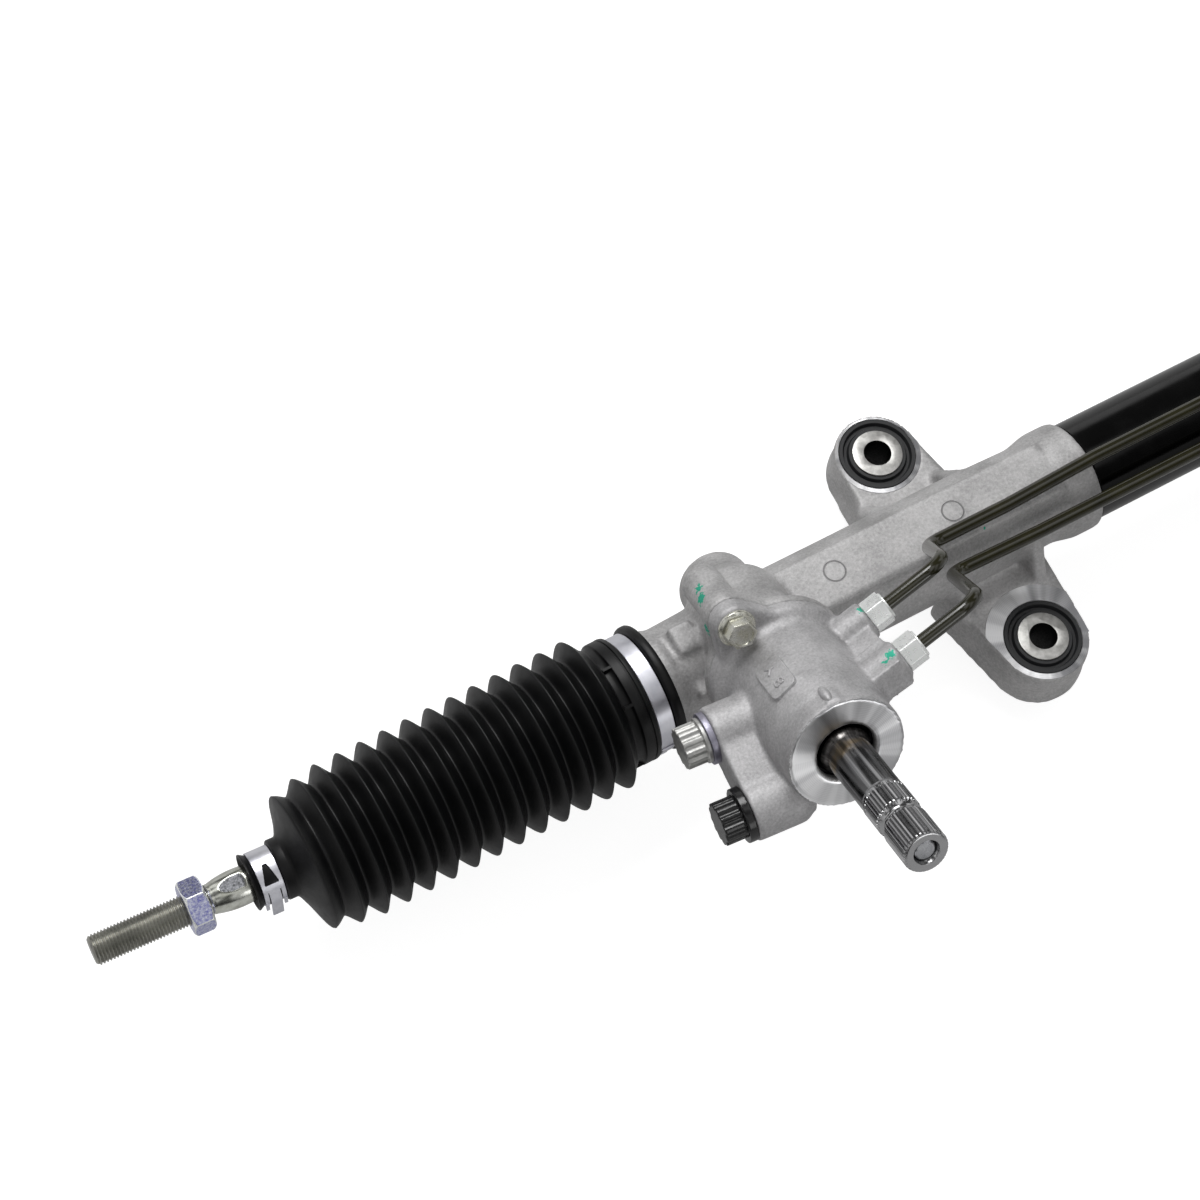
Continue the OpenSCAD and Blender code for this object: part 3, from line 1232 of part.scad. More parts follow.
gear_housing();
valve_housing();
housing_bolts();
joint_ring();
cylinder_tube();
end_housing();
seal_carriers();
rack_seals();
rack_bush();
bushing_shells();
bushing_rubbers();
rear_bushing_sleeve();
front_bushing_sleeve();
rack_guide();
guide_liner();
guide_spring();
guide_screw();
guide_lock_nut();
pinion_needle_bearing();
ball_bearing_outer();
input_bearing();
input_seal();
pipe_rear();
pipe_front();
valve_pipe_nuts();
cylinder_pipe_nuts();
cylinder_ports();
grey_port_plug();
grey_plug_washer();
black_port_plug();
bellows_left();
bellows_right();
large_clamps();
rack_bar();
piston();
piston_ring();
piston_clips();
ball_socket_left();
ball_socket_right();
ball_seats();
stop_washers();
pinion();
ball_bearing_inner();
bearing_balls();
valve_sleeve();
sleeve_rings();
sleeve_pin();
input_shaft();
torsion_bar();
tie_rod_left();
lock_nut_left();
small_clamp_left();
tie_rod_right();
lock_nut_right();
small_clamp_right();
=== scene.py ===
import contextlib
import json
import math

import bmesh
import bpy
import numpy as np
from mathutils import Matrix, Vector

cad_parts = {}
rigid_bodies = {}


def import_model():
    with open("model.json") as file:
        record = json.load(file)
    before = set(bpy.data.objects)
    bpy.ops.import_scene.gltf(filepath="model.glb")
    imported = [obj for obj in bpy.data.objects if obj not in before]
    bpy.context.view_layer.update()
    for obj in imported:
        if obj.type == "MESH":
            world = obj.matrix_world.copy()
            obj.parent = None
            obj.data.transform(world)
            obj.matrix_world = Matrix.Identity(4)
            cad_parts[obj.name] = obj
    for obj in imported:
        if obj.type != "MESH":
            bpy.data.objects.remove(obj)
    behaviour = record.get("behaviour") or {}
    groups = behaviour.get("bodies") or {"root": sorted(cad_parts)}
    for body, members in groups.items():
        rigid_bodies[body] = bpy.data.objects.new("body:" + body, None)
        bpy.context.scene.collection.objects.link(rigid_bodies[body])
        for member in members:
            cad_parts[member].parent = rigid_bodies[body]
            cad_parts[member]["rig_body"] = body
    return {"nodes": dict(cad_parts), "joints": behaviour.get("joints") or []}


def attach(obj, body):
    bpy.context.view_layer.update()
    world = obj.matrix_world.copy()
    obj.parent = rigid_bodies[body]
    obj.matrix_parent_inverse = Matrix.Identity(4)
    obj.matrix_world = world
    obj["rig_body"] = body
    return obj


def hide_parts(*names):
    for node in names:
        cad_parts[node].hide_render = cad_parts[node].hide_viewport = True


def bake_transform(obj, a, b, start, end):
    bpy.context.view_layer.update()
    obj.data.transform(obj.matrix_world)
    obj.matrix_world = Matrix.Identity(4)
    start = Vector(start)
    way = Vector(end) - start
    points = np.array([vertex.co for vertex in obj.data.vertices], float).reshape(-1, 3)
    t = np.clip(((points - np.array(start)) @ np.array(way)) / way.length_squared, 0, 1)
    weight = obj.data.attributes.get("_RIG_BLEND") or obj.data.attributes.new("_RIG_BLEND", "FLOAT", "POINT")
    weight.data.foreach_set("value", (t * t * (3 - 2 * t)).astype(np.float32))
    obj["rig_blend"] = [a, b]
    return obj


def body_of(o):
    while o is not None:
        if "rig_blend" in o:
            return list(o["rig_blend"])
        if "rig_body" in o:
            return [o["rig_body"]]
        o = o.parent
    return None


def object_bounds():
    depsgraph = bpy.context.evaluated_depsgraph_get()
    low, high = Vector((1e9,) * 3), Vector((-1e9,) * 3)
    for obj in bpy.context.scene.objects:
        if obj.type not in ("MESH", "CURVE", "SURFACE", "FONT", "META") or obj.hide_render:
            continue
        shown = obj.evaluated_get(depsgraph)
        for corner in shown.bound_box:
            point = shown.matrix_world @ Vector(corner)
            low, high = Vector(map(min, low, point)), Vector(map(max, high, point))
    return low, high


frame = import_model()
cad_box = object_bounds()
mm = 0.001

# Camera, floor and studio light
# A long lens looks steeply down on the pinion end of the rack, from the front left. The
# floor and the room are white, with a large soft box up to the left and a low one in front.
scene = bpy.context.scene
scene.view_settings.view_transform = "Standard"
camera_right = Vector((0.8623, -0.5005, 0.0776))
camera_up = Vector((0.4249, 0.7983, 0.4269))
camera_back = Vector((-0.2756, -0.3351, 0.9010))
camera_place = Vector((-0.9204, -0.4071, 1.2223))
camera_data = bpy.data.cameras.new("camera")
camera_data.sensor_width = 36
camera_data.lens = 90.59
camera_data.clip_end = 20
camera = bpy.data.objects.new("camera", camera_data)
camera_turn = Matrix((camera_right, camera_up, camera_back)).transposed().to_4x4()
camera.matrix_world = Matrix.Translation(camera_place) @ camera_turn
scene.collection.objects.link(camera)
scene.camera = camera


def linear(hex_colour):
    """An sRGB hex colour as linear red, green, blue and alpha."""
    parts = [int(hex_colour[i:i + 2], 16) / 255 for i in (1, 3, 5)]
    return [v / 12.92 if v < 0.04045 else ((v + 0.055) / 1.055) ** 2.4 for v in parts] + [1]


def fill(node, inputs):
    """Sets or links a node's inputs, in order or by name, from values, sockets or nodes."""
    for key, value in inputs.items() if isinstance(inputs, dict) else enumerate(inputs):
        if isinstance(value, bpy.types.Node):
            value = next(socket for socket in value.outputs if socket.enabled)
        if isinstance(value, bpy.types.NodeSocket):
            node.id_data.links.new(value, node.inputs[key])
        else:
            node.inputs[key].default_value = value


def add(tree, kind, inputs=(), **settings):
    """Adds a node with its settings and its inputs."""
    node = tree.nodes.new(kind)
    for name, value in settings.items():
        setattr(node, name, value)
    fill(node, inputs)
    return node


def empty_tree(owner):
    """The emptied node tree of a world or a material."""
    owner.use_nodes = True
    owner.node_tree.nodes.clear()
    return owner.node_tree


def new_mesh(name, verts, faces, material, smooth=True):
    """A mesh of one material."""
    mesh = bpy.data.meshes.new(name)
    mesh.from_pydata([tuple(v) for v in verts], [], [tuple(f) for f in faces])
    mesh.materials.append(material)
    mesh.polygons.foreach_set("use_smooth", [smooth] * len(mesh.polygons))
    return mesh


def new_object(name, data):
    """An object at the origin."""
    thing = bpy.data.objects.new(name, data)
    scene.collection.objects.link(thing)
    return thing


def soft_box(name, way, distance, size, power):
    """A square lamp that faces the pinion housing."""
    light = bpy.data.lights.new(name, "AREA")
    light.size = size
    light.energy = power
    pinion_place = Vector((-0.48, 0, 0))
    turn = way.to_track_quat("Z", "Y").to_matrix().to_4x4()
    place = Matrix.Translation(pinion_place + way.normalized() * distance)
    new_object(name, light).matrix_world = place @ turn


key_way = camera_up * 1.2 - camera_right * 0.3 + camera_back * 0.9
soft_box("soft_box", key_way, 1.7, 0.8, 17)
soft_box("front_box", Vector((0.15, -0.95, 0.3)), 1.6, 0.6, 2.4)

world = bpy.data.worlds.new("studio")
scene.world = world
sky = empty_tree(world)
white = linear("#ffffff")
way = add(sky, "ShaderNodeTexCoord").outputs["Generated"]
facing = add(sky, "ShaderNodeVectorMath", (way, key_way.normalized()), operation="DOT_PRODUCT")
level = add(sky, "ShaderNodeMapRange", (facing, -0.5, 0.8, 0.1, 0.8))
# Dark flags and bright cards round the table, which put streaks on the polished steel
cards = add(sky, "ShaderNodeTexNoise", {"Vector": way, "Scale": 2.6, "Detail": 0.0})
cards = add(sky, "ShaderNodeMapRange", (cards, 0.42, 0.6, 0.12, 1.5))
level = add(sky, "ShaderNodeMath", (level, cards), operation="MULTIPLY")
room = add(sky, "ShaderNodeBackground", {"Color": white, "Strength": level})
backdrop = add(sky, "ShaderNodeBackground", {"Color": white, "Strength": 1.0})
seen = add(sky, "ShaderNodeLightPath").outputs
choice = add(sky, "ShaderNodeMixShader", (seen["Is Camera Ray"], room, backdrop))
add(sky, "ShaderNodeOutputWorld", {"Surface": choice})

# White paper: the camera and the mirrors see it white, and it keeps the part's shadow
floor_paper = bpy.data.materials.new("white_studio_floor")
tree = empty_tree(floor_paper)
seen = add(tree, "ShaderNodeLightPath").outputs
mirrored = add(tree, "ShaderNodeMath", (seen["Is Glossy Ray"], seen["Is Transmission Ray"]),
               operation="ADD", use_clamp=True)
mirrored = add(tree, "ShaderNodeMath", (mirrored, 0.22), operation="MULTIPLY")
lift = add(tree, "ShaderNodeMath", (seen["Is Camera Ray"], 0.87, mirrored),
           operation="MULTIPLY_ADD")
paper = add(tree, "ShaderNodeBsdfDiffuse", {"Color": linear("#a8a8a8")})
glow = add(tree, "ShaderNodeEmission", {"Color": white, "Strength": lift})
both = add(tree, "ShaderNodeAddShader", (paper, glow))
add(tree, "ShaderNodeOutputMaterial", {"Surface": both})
half = 6.0
floor_z = cad_box[0][2] - 2 * mm
corners = [(x * half, y * half, floor_z) for x, y in ((-1, -1), (1, -1), (1, 1), (-1, 1))]
new_object("floor", new_mesh("floor", corners, [range(4)], floor_paper, smooth=False))

# Gear housing
# One aluminium die casting, shot blasted, so its skin is matt with a fine grain. The
# bushing faces alone are machined. Every edge that came out of the mould is rounded.
pinion_turn = next(j for j in frame["joints"] if j["name"] == "pinion_turn")
shaft_axis = Vector(pinion_turn["axis"]).normalized()
crossing = Vector(pinion_turn["pos_m"])
across_shaft = (Vector((1, 0, 0)) - shaft_axis * shaft_axis.x).normalized()
up_shaft = shaft_axis.cross(across_shaft)


def on_shaft(p, q, u):
    """A point of the pinion's own frame, in millimetres, as a place in metres."""
    return crossing + (across_shaft * p + up_shaft * q + shaft_axis * u) * mm


def shaft_coordinates(place):
    """Distance of many places from the pinion axis and along it, in millimetres."""
    axis = np.array(shaft_axis)
    from_crossing = (place - np.array(crossing)) / mm
    u = from_crossing @ axis
    return np.linalg.norm(from_crossing - u[:, None] * axis, axis=1), u


def new_material(name, colour, metallic, roughness, specular=0.5, anisotropic=0.0):
    """A material with one shader, its node tree and the shader."""
    material = bpy.data.materials.new(name)
    tree = empty_tree(material)
    shader = add(tree, "ShaderNodeBsdfPrincipled",
                 {"Base Color": linear(colour), "Metallic": metallic, "Roughness": roughness,
                  "Specular IOR Level": specular, "Anisotropic": anisotropic})
    add(tree, "ShaderNodeOutputMaterial", {"Surface": shader})
    return material, tree, shader


def mottle(tree, size, detail=3, roughness=0.55):
    """A mottled pattern whose grains have a real size in millimetres."""
    place = add(tree, "ShaderNodeTexCoord").outputs["Object"]
    return add(tree, "ShaderNodeTexNoise", {"Vector": place, "Scale": 1 / (size * mm),
                                            "Detail": detail, "Roughness": roughness})


def shades(tree, value, low, high, dark, light):
    """A colour that goes from dark to light as a value goes from low to high."""
    share = add(tree, "ShaderNodeMapRange", (value, low, high, 0, 1))
    return add(tree, "ShaderNodeMix", {0: share, 6: linear(dark), 7: linear(light)},
               data_type="RGBA")


def cast_skin(name, dark, light, rough_low, rough_high, grain):
    """Blasted die casting: soft grey patches, a grain of shot marks and slow waves. The
    grain is drawn two to three times as coarse as the real one, so that it shows."""
    material, tree, shader = new_material(name, light, 0.7, rough_low)
    patches = mottle(tree, 22, 4, 0.6)
    marks = mottle(tree, grain, 4, 0.75)
    both = add(tree, "ShaderNodeMath", (patches, marks), operation="ADD")
    slow = add(tree, "ShaderNodeBump", {"Height": mottle(tree, 7, 2, 0.5), "Strength": 0.25,
                                        "Distance": 0.35 * mm})
    fine = add(tree, "ShaderNodeBump", {"Height": marks, "Strength": 0.6,
                                        "Distance": 0.22 * mm, "Normal": slow})
    rough = add(tree, "ShaderNodeMapRange", (patches, 0.3, 0.7, rough_low, rough_high))
    fill(shader, {"Base Color": shades(tree, both, 0.78, 1.22, dark, light),
                  "Roughness": rough, "Normal": fine})
    return material


def nearest_of(tree, spots):
    """Distance to the nearest of some spots, as a share of each spot's radius. The spots
    are given as x, y, z and radius in millimetres."""
    place = add(tree, "ShaderNodeTexCoord").outputs["Object"]
    nearest = 1e6
    for x, y, z, r in spots:
        gap = add(tree, "ShaderNodeVectorMath", (place, (x * mm, y * mm, z * mm)),
                  operation="DISTANCE")
        share = add(tree, "ShaderNodeMath", (gap, 1 / (r * mm)), operation="MULTIPLY")
        nearest = add(tree, "ShaderNodeMath", (share, nearest), operation="MINIMUM")
    return nearest


def lay_over(tree, mask, colour):
    """Lays a colour over the shader's own, where the mask is one."""
    shader = tree.nodes["Principled BSDF"]
    under = shader.inputs["Base Color"].links[0].from_socket
    over = add(tree, "ShaderNodeMix", {0: mask, 6: under, 7: linear(colour)}, data_type="RGBA")
    fill(shader, {"Base Color": over})
    return shader


def paint_marks(material, spots):
    """Ragged dabs of green inspection paint."""
    tree = material.node_tree
    ragged = add(tree, "ShaderNodeMapRange", (mottle(tree, 1.3), 0.3, 0.7, -0.7, 0.7))
    edge = add(tree, "ShaderNodeMath", (nearest_of(tree, spots), ragged), operation="ADD")
    lay_over(tree, add(tree, "ShaderNodeMapRange", (edge, 0.85, 0.7, 0, 1)), "#3fae93")


def ejector_marks(material, spots):
    """Rings that the mould's ejector pins left."""
    tree = material.node_tree
    gap = add(tree, "ShaderNodeMath", (nearest_of(tree, spots), 1.0), operation="SUBTRACT")
    gap = add(tree, "ShaderNodeMath", [gap], operation="ABSOLUTE")
    groove = add(tree, "ShaderNodeMapRange", (gap, 0.03, 0.1, 1, 0))
    faint = add(tree, "ShaderNodeMath", (groove, 0.6), operation="MULTIPLY")
    shader = lay_over(tree, faint, "#6b6a6b")
    under = shader.inputs["Normal"].links[0].from_socket
    fill(shader, {"Normal": add(tree, "ShaderNodeBump", {
        "Height": groove, "Strength": 1.0, "Distance": -0.3 * mm, "Normal": under})})


@contextlib.contextmanager
def editing(mesh):
    """A mesh opened for editing, and written back at the end."""
    bm = bmesh.new()
    bm.from_mesh(mesh)
    yield bm
    bm.to_mesh(mesh)
    bm.free()


def evaluated(thing):
    """The plain mesh that an object's modifiers make."""
    graph = bpy.context.evaluated_depsgraph_get()
    return bpy.data.meshes.new_from_object(thing.evaluated_get(graph))


def new_piece(name, mesh, body, node=None):
    """An object that rides on a body, and stands for a CAD node where one is given."""
    piece = new_object(name, mesh)
    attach(piece, body)
    if node:
        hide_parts(node)
    return piece


def stand_in(name, mesh, node):
    """A new form of a CAD node, on the node's own body."""
    return new_piece(name, mesh, body_of(frame["nodes"][node])[0], node)


def even_weight(place):
    """The same rounding everywhere."""
    return np.full(len(place), 0.5)


weld = 0.002 * mm


def rounded_skin(node, material, voxel, passes, weight=even_weight):
    """The node's solid as a skin of small faces, with its edges and corners rounded."""
    solid = new_object(node, frame["nodes"][node].data.copy())
    with editing(solid.data) as bm:
        bmesh.ops.remove_doubles(bm, verts=bm.verts, dist=weld)
    remesh = solid.modifiers.new("skin", "REMESH")
    remesh.mode = "VOXEL"
    remesh.voxel_size = voxel * mm
    mesh = evaluated(solid)
    bpy.data.objects.remove(solid)
    count = len(mesh.vertices)
    place = np.empty(count * 3)
    mesh.vertices.foreach_get("co", place)
    place = place.reshape(-1, 3)
    ends = np.empty(len(mesh.edges) * 2, int)
    mesh.edges.foreach_get("vertices", ends)
    a, b = ends.reshape(-1, 2).T
    neighbours = np.bincount(a, minlength=count) + np.bincount(b, minlength=count)
    share = weight(place)
    for i in range(passes):
        total = np.empty_like(place)
        for k in range(3):
            total[:, k] = (np.bincount(a, place[b, k], count)
                           + np.bincount(b, place[a, k], count))
        place += (total / neighbours[:, None] - place) * share[:, None]
    mesh.vertices.foreach_set("co", place.ravel())
    mesh.polygons.foreach_set("use_smooth", [True] * len(mesh.polygons))
    mesh.materials.clear()
    mesh.materials.append(material)
    mesh.update()
    return mesh


def dress(material, *nodes):
    """Gives CAD nodes their finish."""
    for name in nodes:
        mesh = frame["nodes"][name].data
        mesh.materials.clear()
        mesh.materials.append(material)


rear_bush = Vector((-389, 57))
front_bush = Vector((-372, -59))
ear_top = -14
bush_r = 18.4
ear_cutter = {"rear": 20.6, "front": 26.6}
flange_r = 50


def gear_weight(place):
    """Less rounding at the bushing bores and at the joint with the valve housing."""
    share = even_weight(place)
    for bush in (rear_bush, front_bush):
        out = np.hypot(place[:, 0] / mm - bush.x, place[:, 1] / mm - bush.y)
        share[out < bush_r + 2] = 0.12
    out, u = shaft_coordinates(place)
    share[(u > 45.5) & (out < flange_r)] = 0.2
    return share


# Shot blasted casting: matt light grey with a sandy grain
cast_aluminium = cast_skin("shot_blasted_cast_aluminium", "#a09f9f", "#c9c8c8", 0.56, 0.72, 1.3)
ejector_marks(cast_aluminium, ((-454.5, 1.1, 25.4, 5), (-391, 1.4, 25.4, 5),
                               (-500, 2, 25.4, 5)))
paint_marks(cast_aluminium, ((-526, 9, 63.3, 2.2), (-528, 3.6, 65.5, 3),
                             (-531.6, -7.7, 60.3, 3.4), (-382.7, -12.6, 25.2, 0.8)))
mesh = rounded_skin("gear_housing", cast_aluminium, 1.3, 5, gear_weight)
for vertex in mesh.vertices:
    for bush, cutter in ((rear_bush, ear_cutter["rear"]), (front_bush, ear_cutter["front"])):
        out = (vertex.co.xy / mm - bush).length
        if out < cutter + 0.6 and abs(vertex.co.z / mm - ear_top) < 1.5:
            vertex.co.z = (ear_top - 0.25) * mm
stand_in("gear_housing_casting", mesh, "gear_housing")
dress(cast_aluminium, "gear_housing")

# Machined bushing faces
# The ears are faced off round the bushings with a cutter, which leaves a flat bright ring
# with fine curved tool marks.
def turned(name, dark, light, roughness, centre, axis=Vector((0, 0, 1))):
    """Faced metal, with rings of tool marks round an axis and a silky shine. The rings are
    drawn 0.8 mm apart, several times as coarse as the real ones, so that they show."""
    pitch = 0.8
    material, tree, shader = new_material(name, light, 1.0, roughness, anisotropic=0.75)
    place = add(tree, "ShaderNodeTexCoord").outputs["Object"]
    arm = add(tree, "ShaderNodeVectorMath", (place, centre), operation="SUBTRACT")
    sweep = add(tree, "ShaderNodeVectorMath", (axis, arm), operation="CROSS_PRODUCT")
    out = add(tree, "ShaderNodeVectorMath", [sweep], operation="LENGTH")
    turn = add(tree, "ShaderNodeMath", (out, math.tau / (pitch * mm)), operation="MULTIPLY")
    turn = add(tree, "ShaderNodeMath", (mottle(tree, 9, 2), 2.5, turn),
               operation="MULTIPLY_ADD")
    ridge = add(tree, "ShaderNodeMath", [turn], operation="SINE")
    cut = add(tree, "ShaderNodeBump", {"Height": ridge, "Strength": 0.07,
                                       "Distance": 0.012 * mm})
    way = add(tree, "ShaderNodeVectorMath", [sweep], operation="NORMALIZE")
    # Sectors of painted highlight round the axis, lighter and darker by turn, in place of the lamps' sheen
    band = add(tree, "ShaderNodeTexNoise", {"Vector": way, "Scale": 2.3, "Detail": 2.5})
    shade = add(tree, "ShaderNodeMath", (ridge, 0.025, band), operation="MULTIPLY_ADD")
    # The painted highlight sectors grow brighter towards the left, a painted sheen from the lamps
    painted_highlight_side = axis.cross(Vector((-0.86, 0.2, -0.2))).normalized()
    side = add(tree, "ShaderNodeVectorMath", (way, painted_highlight_side), operation="DOT_PRODUCT")
    shade = add(tree, "ShaderNodeMath", (side, 0.12, shade), operation="MULTIPLY_ADD")
    fill(shader, {"Base Color": shades(tree, shade, 0.36, 0.64, dark, light), "Normal": cut,
                  "Tangent": sweep})
    return material


def skin(rings, closed=False, caps=False):
    """Vertices and faces of a skin over rings of places."""
    around = len(rings[0])
    last = (len(rings) - 1) * around
    faces = []
    for k in range(len(rings) if closed else len(rings) - 1):
        low = k * around
        up = (k + 1) % len(rings) * around
        for i in range(around):
            j = (i + 1) % around
            faces.append((low + i, low + j, up + j, up + i))
    if caps:
        faces += [range(around)[::-1], range(last, last + around)]
    return [place for ring in rings for place in ring], faces


def ear_edge(bush, wall, left_x, right_x, angle):
    """Distance from a bushing's axis to the edge of its ear, in a direction."""
    way = math.copysign(1, bush.y)
    radius = bush_r + wall
    if way * math.sin(angle) > 0.35:
        return radius
    reach = [1e3]
    for x, side in ((left_x, -way), (right_x, way)):
        root = Vector((x, 16 * way)) - bush
        touch = math.atan2(root.y, root.x) + side * math.acos(radius / root.length)
        lean = math.cos(angle - touch)
        if lean > 0.05:
            reach.append(radius / lean)
    return max(radius, min(reach))


def spot_face(name, bush, wall, left_x, right_x, cutter_r):
    """A thin flat ring on an ear, cut off where the ear ends."""
    steps = 144
    lift = 0.06
    sunk = -0.3
    hole_r = bush_r + 0.1
    rings = [[], [], [], []]
    for i in range(steps):
        angle = math.tau * i / steps
        edge = min(cutter_r, ear_edge(bush, wall, left_x, right_x, angle) - 0.9)
        profile = ((edge + 0.1, sunk), (edge, lift), (hole_r, lift), (hole_r, sunk))
        for ring, (r, z) in zip(rings, profile):
            ring.append(Vector((bush.x + r * math.cos(angle), bush.y + r * math.sin(angle),
                                ear_top + z)) * mm)
    # Faced aluminium: bright and silky, with painted highlight sectors round the bore
    face = turned("faced_aluminium_" + name, "#9c9c9f", "#efeff0", 0.3, (*(bush * mm), 0))
    mesh = new_mesh(name, *skin(rings, closed=True), face, smooth=False)
    new_piece(name, mesh, "housing")


spot_face("rear_spot_face", rear_bush, 1.9, -413, -361, ear_cutter["rear"])
spot_face("front_spot_face", front_bush, 3.6, -402, -347, ear_cutter["front"])

# Bushings
# A rubber bush in a steel shell is pressed into each ear, round a sawn steel sleeve that
# takes the mounting bolt.
def worn_metal(name, dark, light, rough_low, rough_high, patch=5, mark=0.9, depth=0.03,
               metallic=1.0):
    """Metal with cloudy patches and faint handling marks."""
    material, tree, shader = new_material(name, light, metallic, rough_low)
    marks = mottle(tree, mark, 3, 0.6)
    clouds = mottle(tree, patch, 4, 0.6)
    rough = add(tree, "ShaderNodeMapRange", (marks, 0.3, 0.7, rough_low, rough_high))
    bump = add(tree, "ShaderNodeBump", {"Height": marks, "Strength": 0.5,
                                        "Distance": depth * mm})
    fill(shader, {"Base Color": shades(tree, clouds, 0.35, 0.65, dark, light),
                  "Roughness": rough, "Normal": bump})
    return material


def moulded(name, colour, rough_low, rough_high, grain, depth, specular=0.5):
    """Rubber or plastic out of a mould, with a faint bloom."""
    material, tree, shader = new_material(name, colour, 0.0, rough_low, specular)
    bloom = mottle(tree, 9, 4, 0.6)
    rough = add(tree, "ShaderNodeMapRange", (bloom, 0.3, 0.7, rough_low, rough_high))
    bump = add(tree, "ShaderNodeBump", {"Height": mottle(tree, grain, 3, 0.6),
                                        "Strength": 0.5, "Distance": depth * mm})
    fill(shader, {"Roughness": rough, "Normal": bump})
    return material


def smooth_to(mesh, degrees):
    """Shades a mesh smooth, apart from the edges that turn further than an angle."""
    mesh.polygons.foreach_set("use_smooth", [True] * len(mesh.polygons))
    mesh.set_sharp_from_angle(angle=math.radians(degrees))


def crisp(node, material, width, degrees=32):
    """A CAD piece whose sharp edges are broken, as tumbling and plating leave them."""
    mesh = frame["nodes"][node].data.copy()
    mesh.materials.clear()
    mesh.materials.append(material)
    mesh.polygons.foreach_set("material_index", [0] * len(mesh.polygons))
    with editing(mesh) as bm:
        bmesh.ops.remove_doubles(bm, verts=bm.verts, dist=weld)
        if width:
            bmesh.ops.dissolve_limit(bm, angle_limit=math.radians(0.5), verts=bm.verts,
                                     edges=bm.edges)
            sharp = [e for e in bm.edges
                     if e.is_manifold and e.calc_face_angle() > math.radians(degrees)]
            bmesh.ops.bevel(bm, geom=sharp, offset=width * mm, segments=2, profile=0.6,
                            affect="EDGES", clamp_overlap=True)
    smooth_to(mesh, degrees)
    return stand_in(node + "_crisp", mesh, node)


# Sawn steel: fairly bright, with cloudy patches. Its bore is painted nearly black, as painted shade
sleeve_steel = worn_metal("sawn_steel", "#a6a5a2", "#c4c3c0", 0.34, 0.48, 3, 0.9, 0.05)
bore_shadow = worn_metal("bore_painted_shade", "#0c0c0c", "#161616", 0.5, 0.7)
# Phosphated steel: dark grey and matt
dark_steel = worn_metal("phosphated_steel", "#4c4d4f", "#636466", 0.42, 0.6)
# Natural rubber: charcoal, satin, with the grain of its mould
bush_rubber = moulded("bushing_rubber", "#191a1c", 0.42, 0.6, 0.7, 0.08)
bore_r = 6.7
dress(dark_steel, "bushing_shells")
dress(bush_rubber, "bushing_rubbers")
dress(sleeve_steel, "rear_bushing_sleeve", "front_bushing_sleeve")
for node, bush in (("rear_bushing_sleeve", rear_bush), ("front_bushing_sleeve", front_bush)):
    mesh = crisp(node, sleeve_steel, 0.4).data
    mesh.materials.append(bore_shadow)
    for polygon in mesh.polygons:
        if all((mesh.vertices[v].co.xy / mm - bush).length < bore_r for v in polygon.vertices):
            polygon.material_index = 1

# Valve housing
# A second, finer die casting, bolted on with the rotary valve inside. Its nose is faced on
# a lathe, so the face shows bright rings and a sharp rim.
face_u = 118
joint_u = 47
port_turn = math.radians(20)
port_face = 33


def valve_weight(place):
    """Less rounding on the machined nose, on the ports' faces and at the joint."""
    share = even_weight(place)
    out, u = shaft_coordinates(place)
    share[u > face_u - 3] = 0.18
    share[(u < joint_u + 2) & (out < flange_r)] = 0.2
    port = np.array(across_shaft) * math.cos(port_turn)
    port += np.array(up_shaft) * math.sin(port_turn)
    share[(place - np.array(crossing)) @ port / mm > port_face] = 0.16
    return share


def from_crossing(tree):
    """The way from the pinion's crossing to the shaded place, and its part along the shaft."""
    place = add(tree, "ShaderNodeTexCoord").outputs["Object"]
    arm = add(tree, "ShaderNodeVectorMath", (place, crossing), operation="SUBTRACT")
    return arm, add(tree, "ShaderNodeVectorMath", (arm, shaft_axis), operation="DOT_PRODUCT")


def seam_line(material, u):
    """A dark line where the two castings meet, at a distance along the pinion axis."""
    tree = material.node_tree
    arm, along = from_crossing(tree)
    gap = add(tree, "ShaderNodeMath", (along, u * mm), operation="SUBTRACT")
    gap = add(tree, "ShaderNodeMath", [gap], operation="ABSOLUTE")
    lay_over(tree, add(tree, "ShaderNodeMapRange", (gap, 0.3 * mm, 0.55 * mm, 1, 0)), "#4a4949")


# Die casting, lightly blasted: the same grey as the gear housing, with a finer grain
fine_cast = cast_skin("die_cast_aluminium", "#a1a0a1", "#c9c8c9", 0.54, 0.68, 1.2)
paint_marks(fine_cast, ((-470.5, -34, 66.8, 1.8), (-477.8, -63.2, 84.7, 2.6),
                        (-480.5, -65, 84, 2)))
seam_line(fine_cast, joint_u)
# Lathe-faced aluminium: brighter than the casting, with rings round the shaft and painted highlight sectors
nose = turned("faced_aluminium_nose", "#b0b0b2", "#f2f2f3", 0.28, crossing, shaft_axis)
mesh = rounded_skin("valve_housing", fine_cast, 0.9, 6, valve_weight)
mesh.materials.append(nose)
for polygon in mesh.polygons:
    u = (polygon.center - crossing).dot(shaft_axis) / mm
    if u > face_u - 0.6 and polygon.normal.dot(shaft_axis) > 0.8:
        polygon.material_index = 1
stand_in("valve_housing_casting", mesh, "valve_housing")
dress(fine_cast, "valve_housing")

# Bolts and pipe nuts
# Two flanged steel bolts hold the valve housing to the gear housing, and flare nuts hold
# the pipes in their ports. All are cold formed and zinc plated.
def rounded(node, material, voxel):
    """A CAD piece whose edges are rounded all over, as forming and plating leave them."""
    return stand_in(node + "_rounded", rounded_skin(node, material, voxel, 6), node)


# Yellow zinc: pale and bright, with a warm shade
bolt_zinc = worn_metal("yellow_zinc_plate", "#c6c4b4", "#dfdfd8", 0.2, 0.32, 5, 2.2, 0.02)
